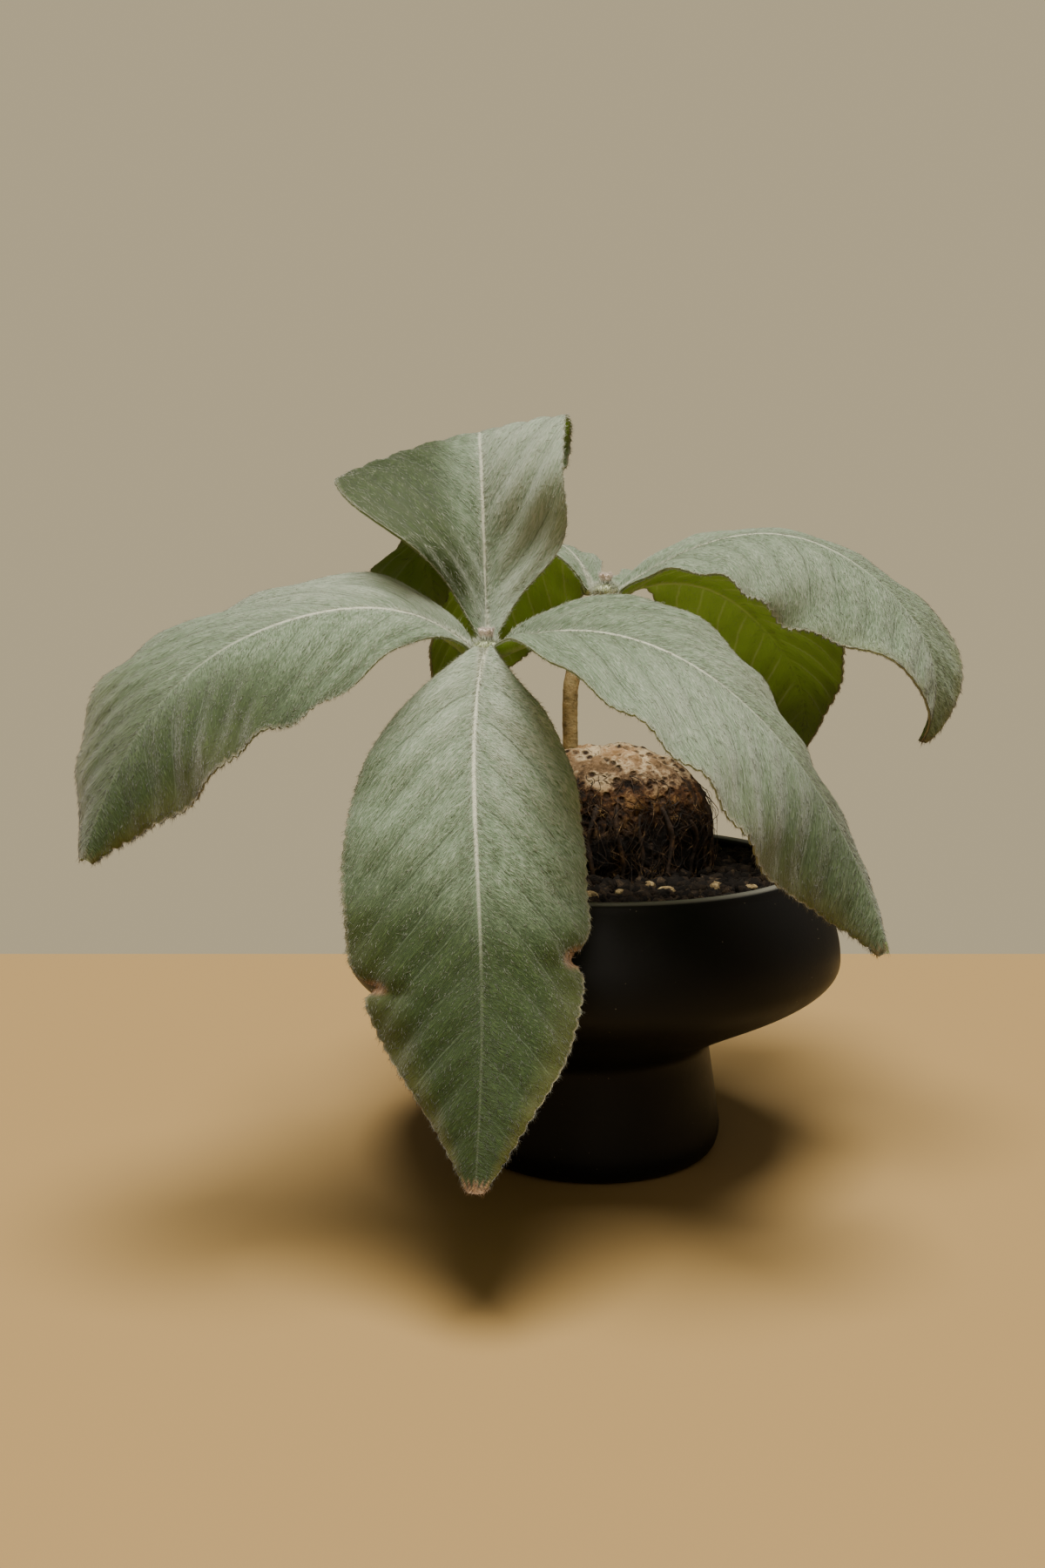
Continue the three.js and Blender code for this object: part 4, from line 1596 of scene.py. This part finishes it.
    def scorch(self, t: np.ndarray, share: np.ndarray, is_left: np.ndarray) -> np.ndarray:
        """How brown the blade is, from 0 to 1: at old nicks and at some tips.

        Args:
            t: Places along the leaf.
            share: Shares of the way to the margin.
            is_left: Whether each place is on the left half.

        Returns:
            The brownness.
        """
        burn = self.tip_scorch * smooth(t + 0.006 * np.sin(share * 19), 0.979, 0.994)
        for nick in self.nicks:
            here = is_left == (nick.side is Side.LEFT)
            spread = hump(t, nick.at, 1.1 * nick.width) * smooth(share, 0.66, 0.86)
            burn = np.maximum(burn, here * smooth(spread, 0.25, 0.8))
        return np.clip(burn, 0, 1)

    def marks(self, grid: dict[str, np.ndarray]) -> dict[str, np.ndarray]:
        """What the felt reads at the points of both faces.

        Args:
            grid: The blade's middle layer.

        Returns:
            Vectors by name.
        """
        t, off, share = grid["t"], grid["off"], grid["share"]
        beside = hump(np.abs(off), 3.2, 1.9) * (1 - smooth(t, 0.3, 0.75))
        lean = np.tanh(off / 16)
        bare_and_shade = along(self.bare_and_shade, t) + 0.2 * beside
        # The side numbers are partly painted shade and light: one half of the blade is darkened or paled
        # for how the light falls on it.
        bare_and_shade = bare_and_shade + self.bare_and_shade_left * np.maximum(lean, 0) + self.bare_and_shade_right * np.maximum(-lean, 0)
        none = np.zeros_like(t)
        # The hair of the upper face reaches round the margin.
        lower = 1 - smooth(share, 0.965, 1.0)
        both = {
            "grow": [(grid["vein"], off, share)] * 2,
            "state": [(t, grid["scorch"], face) for face in (none, lower)],
            "relief": [(puff, grid["fade"], bare_and_shade) for puff in (grid["puff"], none + 0.5)],
        }
        return {
            name: np.concatenate([np.stack(f, -1).reshape(-1, 3) for f in faces])
            for name, faces in both.items()
        }

    def build(self, felt: Material, hair: Material) -> None:
        """Make and dress the blade and its hair.

        Args:
            felt: The blade's material.
            hair: The hair's material.
        """
        grid = self.surface()
        rows, columns = grid["t"].shape
        off = np.abs(grid["off"])
        t = grid["t"]
        skin = self.skin * (1 - 0.3 * smooth(grid["share"], 0.9, 1.0))
        ridge = self.rib_depth * (1 - 0.85 * t) * hump(off, 0, 1.7 - 0.9 * t)
        side_ribs = 0.4 * hump(grid["near_vein"], 0, 1.2) * grid["fade"]
        cord = 0.45 * hump(off, 0, 0.95 - 0.5 * t) * (1 - smooth(t, 0.25, 0.65))
        upper = grid["middle"] + grid["normal"] * (skin + cord)[..., None]
        lower = grid["middle"] - grid["normal"] * (skin + ridge + side_ribs)[..., None]
        points = np.concatenate([upper.reshape(-1, 3), lower.reshape(-1, 3)])
        count = rows * columns
        numbers = np.arange(count).reshape(rows, columns)
        rim = np.concatenate([numbers[0, :-1], numbers[:-1, -1], numbers[-1, :0:-1], numbers[:0:-1, 0]])
        after = np.roll(rim, -1)
        wall = np.stack([rim, rim + count, after + count, after], -1)
        top = grid_faces(rows, columns)
        blade = (points, [top[:, ::-1], top + count, wall])
        make_piece(self.node + "_blade", blade, felt, (self.node,), self.marks(grid))
        self.hairs(grid, {Face.UPPER: upper, Face.LOWER: lower}).build(self.node + "_hair", "leaf", hair)

    def spots(self, draw: np.random.Generator, zone: Zone, count: int) -> tuple[np.ndarray, np.ndarray]:
        """Random places for hairs on the blade's grid.

        Args:
            draw: Draws them.
            zone: Where they are.
            count: How many are tried.

        Returns:
            Their rows and columns, with the part of the way to the next one.
        """
        shares = self.shares()
        last = len(shares) - 1
        rows = draw.uniform(0, self.rows - 1.001, count)
        if zone is Zone.BLADE:
            # Even by area: columns stand closer near the midrib and the margins.
            columns = np.interp(draw.uniform(-0.99, 0.99, count), shares, np.arange(last + 1))
            keep = draw.random(count) < along(self.outline, rows / (self.rows - 1))
            return rows[keep], columns[keep]
        if zone is Zone.MIDRIB:
            # Dense at the base, few at the tip.
            rows = (self.rows - 1.001) * draw.random(count) ** 2.2
        middle = last // 2
        low, high = {
            Zone.RIGHT_MARGIN: (0, 2),
            Zone.LEFT_MARGIN: (last - 2, last),
            Zone.MIDRIB: (middle - 2, middle + 2),
        }[zone]
        return rows, draw.uniform(low, high, count)

    def hairs(self, grid: dict[str, np.ndarray], faces: dict[Face, np.ndarray]) -> Hairs:
        """Grow the felt: lying hairs on both faces, a fringe at the margins, fur on the midrib.

        Args:
            grid: The blade's middle layer.
            faces: Points of its two faces.

        Returns:
            The hairs.
        """
        draw = np.random.default_rng(self.seed)
        ahead = np.gradient(grid["middle"], axis=0) / (self.length / (self.rows - 1))
        step = np.maximum(np.abs(np.gradient(grid["off"], axis=1)), 1e-3)
        across = np.gradient(grid["middle"], axis=1) / step[..., None]
        sign = np.where(grid["off"] < 0, -1.0, 1.0)
        # Hairs lie along the side veins, which turn ahead more and more towards the margin.
        slope = 1.15 + 0.016 * np.abs(grid["off"])
        way = unit(across * sign[..., None] + slope[..., None] * ahead)
        kinds = (
            (Face.UPPER, Zone.BLADE, self.upper_hairs),
            (Face.LOWER, Zone.BLADE, self.lower_hairs),
            (Face.UPPER, Zone.RIGHT_MARGIN, self.margin_hairs),
            (Face.LOWER, Zone.LEFT_MARGIN, self.margin_hairs),
            (Face.UPPER, Zone.LEFT_MARGIN, self.margin_hairs),
            (Face.LOWER, Zone.RIGHT_MARGIN, self.margin_hairs),
            (Face.UPPER, Zone.MIDRIB, self.rib_hairs),
            (Face.LOWER, Zone.MIDRIB, self.rib_hairs // 2),
        )
        batches = []
        for which, zone, count in kinds:
            face = faces[which]
            row, column = self.spots(draw, zone, count)
            a = row.astype(int)
            b = column.astype(int)
            f = (row - a)[:, None]
            g = (column - b)[:, None]
            roots = (face[a, b] * (1 - g) + face[a, b + 1] * g) * (1 - f)
            roots = roots + (face[a + 1, b] * (1 - g) + face[a + 1, b + 1] * g) * f
            normal = grid["normal"][a, b] * which.value
            rise = draw.uniform(*self.hair_rise, len(roots))[:, None]
            lean = way[a, b] + self.hair_scatter * draw.normal(size=roots.shape)
            lean = lean - normal * np.sum(lean * normal, axis=1, keepdims=True)
            fringe = zone in (Zone.LEFT_MARGIN, Zone.RIGHT_MARGIN)
            longest = self.fringe_longest if fringe else self.hair_longest
            lengths = draw.uniform(self.hair_shortest, longest, len(roots))
            marks = np.stack([grid["t"][a, b], grid["scorch"][a, b], np.zeros(len(roots))], -1)
            batches.append((roots - self.hair_sink * normal, unit(lean) + normal * rise, lengths, marks))
        roots, ways, lengths, marks = (np.concatenate(column) for column in zip(*batches))
        return Hairs(roots, ways, lengths, self.hair_width, marks)


def leaves() -> list[Leaf]:
    """The seven leaves, the front whorl first.

    Returns:
        The leaves.
    """
    return [
        Leaf(
            node="leaf_front_left", hub=FRONT_HUB, start=200, length=138, half=(32, 32),
            pitch=[40, 0, -24, -53, -72], heading=[210, 211, 218], roll=[-40, -26, -19, -24],
            fold=[27, 3, -1, -18], curl=[-14, -40, -14, -28], sweep=0.3, wave=(1.2, 6),
            bare_and_shade=(0.0, -0.12, 0.22, 0.72, 0.85), bare_and_shade_left=0.62, seed=11, tip_scorch=0.2,
        ),
        Leaf(
            node="leaf_front_near", hub=FRONT_HUB, start=266, length=148, half=(31, 34),
            pitch=[-38, -49, -57, -59, -71], heading=[-99, -84, -99], roll=[7, -4, -6, 8],
            fold=[35, 5, -6, -6], curl=[-13, -26, -21, -19], sweep=-0.1, wave=(0.9, 7),
            bare_and_shade=(-0.35, -0.12, 0.42, 1.45, 2.2), bare_and_shade_left=0.08, bare_and_shade_right=0.3, seed=12,
            nicks=(Nick(Side.RIGHT, 0.682, 4.4, 0.015), Nick(Side.LEFT, 0.625, 4.6, 0.02)),
            tip_scorch=1.0,
        ),
        Leaf(
            node="leaf_front_right", hub=FRONT_HUB, start=-28, length=151, half=(30.5, 32.5),
            pitch=[20, -5, -36, -57, -72], heading=[-54, -24, -35], roll=[29, 16, 7, 24],
            fold=[36, 9, -11, -33], curl=[-12, -28, -16, -32], sweep=0.18, wave=(1, 7),
            bare_and_shade=(0.3, 0.3, 0.08, 0.8, 0.5), seed=13, tip_scorch=0.5,
        ),
        Leaf(
            node="leaf_front_back", hub=FRONT_HUB, start=84, clear=1.7, length=152, half=(42.5, 26.5),
            outline=BROAD_OUTLINE, pitch=[45, 79, 65, 2, -129, -147, -73],
            heading=[98, 96, 89, 42, 160], roll=[-1, 12, -19, -12, 0, 20, 36], fold=[59, 30, 2, 4, 9],
            curl=[-27, -8, -16, 21, -5], sweep=0.04, wave=(0.8, 7), quilt=1.1,
            bare_and_shade=(-0.1, -0.1, -0.1, 0.2, 0.8), bare_and_shade_left=1.4, seed=14,
        ),
        Leaf(
            node="leaf_rear_right", hub=REAR_HUB, start=-20, clear=0.9, length=140, half=(31.5, 32),
            pitch=[38, 14, -26, -58, -118], heading=[-10, -24, -24], roll=[20, 15, 22, 14],
            fold=[24, -3, -11, 24], curl=[-15, -21, -28, 4], sweep=-0.15, wave=(1.2, 6),
            bare_and_shade=(0.3, 0.15, 0.15, 0.35, 0.6), seed=15, tip_scorch=0.4,
        ),
        Leaf(
            node="leaf_rear_back", hub=REAR_HUB, start=55, length=144, half=(31, 31),
            pitch=[17, -4, -26, -47, -112], heading=[46, 46, 39], roll=[-5, -6, -6, -3],
            fold=[32, 14, 3, -10], curl=[-15, -23, -19, -22], sweep=0, wave=(1.2, 6), tooth_pitch=4.6,
            tooth_depth=1.4, seed=16,
        ),
        Leaf(
            node="leaf_rear_left", hub=REAR_HUB, start=140, clear=1.4, length=134, half=(30, 30),
            pitch=[60, 2, -35, -64, -89], heading=[119, 125, 132], roll=[14, 12, 1, -3],
            fold=[21, -7, -17, -7], curl=[-20, -26, -25, -21], sweep=0, wave=(1.2, 6), seed=17,
        ),
    ]


# Stage


@dataclass(frozen=True)
class Studio:
    """The floor, the lights and the camera."""

    floor: int = 0x8C7244
    wall: int = 0xE9D7AE
    fill: float = 0.2
    backdrop: float = 0.62
    reach_m: float = 6.0
    table_end_mm: float = 241.0  # behind the pot's centre, where the photograph's table ends
    key_white: int = 0xFFF8EC
    key: float = 7.9
    softness: float = 34.0
    front_white: int = 0xFFF3E4
    front: float = 4.0
    front_m: float = 0.9
    camera_mm: Point = (-21.7, -460.0, 174.0)
    pitch_down: float = 7.58
    lens_mm: float = 35.0
    sensor_mm: float = 36.0

    def put(self, thing: bpy.types.Object, place: Point, tilt: float) -> None:
        """Put a lamp or the camera in the scene.

        Args:
            thing: The lamp or camera.
            place: Where it goes, in metres.
            tilt: Its tilt about X in degrees.
        """
        thing.location = place
        thing.rotation_euler = (math.radians(tilt), 0, 0)
        bpy.context.scene.collection.objects.link(thing)

    def build(self) -> None:
        """Set the stage."""
        self.build_floor()
        self.build_room()
        self.build_lights()
        camera = bpy.data.objects.new("camera", bpy.data.cameras.new("camera"))
        camera.data.lens = self.lens_mm
        camera.data.sensor_width = self.sensor_mm
        camera.data.clip_start = 0.01
        self.put(camera, tuple(v * MM for v in self.camera_mm), 90 - self.pitch_down)
        bpy.context.scene.camera = camera

    def build_floor(self) -> None:
        """A plain pale floor."""
        mesh = bpy.data.meshes.new("floor")
        far = self.reach_m
        end = self.table_end_mm * MM
        corners = [(-far, -far, 0), (far, -far, 0), (far, end, 0), (-far, end, 0)]
        mesh.from_pydata(corners, [], [(0, 1, 2, 3)])
        look = {"Base Color": linear(self.floor), "Roughness": 0.7}
        mesh.materials.append(Shader("Floor_pale_matte").solid(look))
        floor = bpy.data.objects.new("floor", mesh)
        bpy.context.scene.collection.objects.link(floor)

    def build_room(self) -> None:
        """A plain room: it fills the shadows weakly and is seen brighter behind the plant."""
        world = bpy.data.worlds.new("room")
        world.use_nodes = True
        nodes = world.node_tree.nodes
        link = world.node_tree.links.new
        fill = nodes["Background"]
        seen = nodes.new("ShaderNodeBackground")
        for light, strength in ((fill, self.fill), (seen, self.backdrop)):
            light.inputs["Color"].default_value = linear(self.wall)
            light.inputs["Strength"].default_value = strength
        pick = nodes.new("ShaderNodeMixShader")
        link(nodes.new("ShaderNodeLightPath").outputs["Is Camera Ray"], pick.inputs[0])
        link(fill.outputs[0], pick.inputs[1])
        link(seen.outputs[0], pick.inputs[2])
        link(pick.outputs[0], nodes["World Output"].inputs["Surface"])
        bpy.context.scene.world = world

    def build_lights(self) -> None:
        """A large soft light overhead and a weak one from the front."""
        key = bpy.data.lights.new("key", "SUN")
        key.energy = self.key
        key.angle = math.radians(self.softness)
        key.color = linear(self.key_white)[:3]
        self.put(bpy.data.objects.new("key", key), (0, 0, 1.2), 7)
        front = bpy.data.lights.new("front", "AREA")
        front.size = self.front_m
        front.energy = self.front
        front.color = linear(self.front_white)[:3]
        self.put(bpy.data.objects.new("front", front), (0, -1.2, 0.9), 57)


def main() -> None:
    """Build the pot, the plant and the stage in order."""
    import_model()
    felt = LeafFelt().build()
    hair = SilkHair().build()
    pot = Pot()
    pot.build()
    caudex = Caudex()
    caudex.build()
    Soil(caudex, pot).build()
    bark = STEM_BARK.build()
    top = STEM_TOP.build()
    Stem("stem_front", FRONT_PATH, bark, top, hair, seed=51).build()
    Stem("stem_rear", REAR_PATH, bark, top, hair, seed=61).build()
    Stub().build()
    scale = BUD_SCALE.build()
    wool = BUD_WOOL.build()
    Bud("bud_front", FRONT_HUB, scale, wool, seed=71).build()
    Bud("bud_rear", REAR_HUB, scale, wool, seed=81).build()
    for leaf in leaves():
        leaf.build(felt, hair)
    Studio().build()


if __name__ == "__main__":
    logging.basicConfig(level=logging.INFO, format="%(name)s %(message)s")
    main()
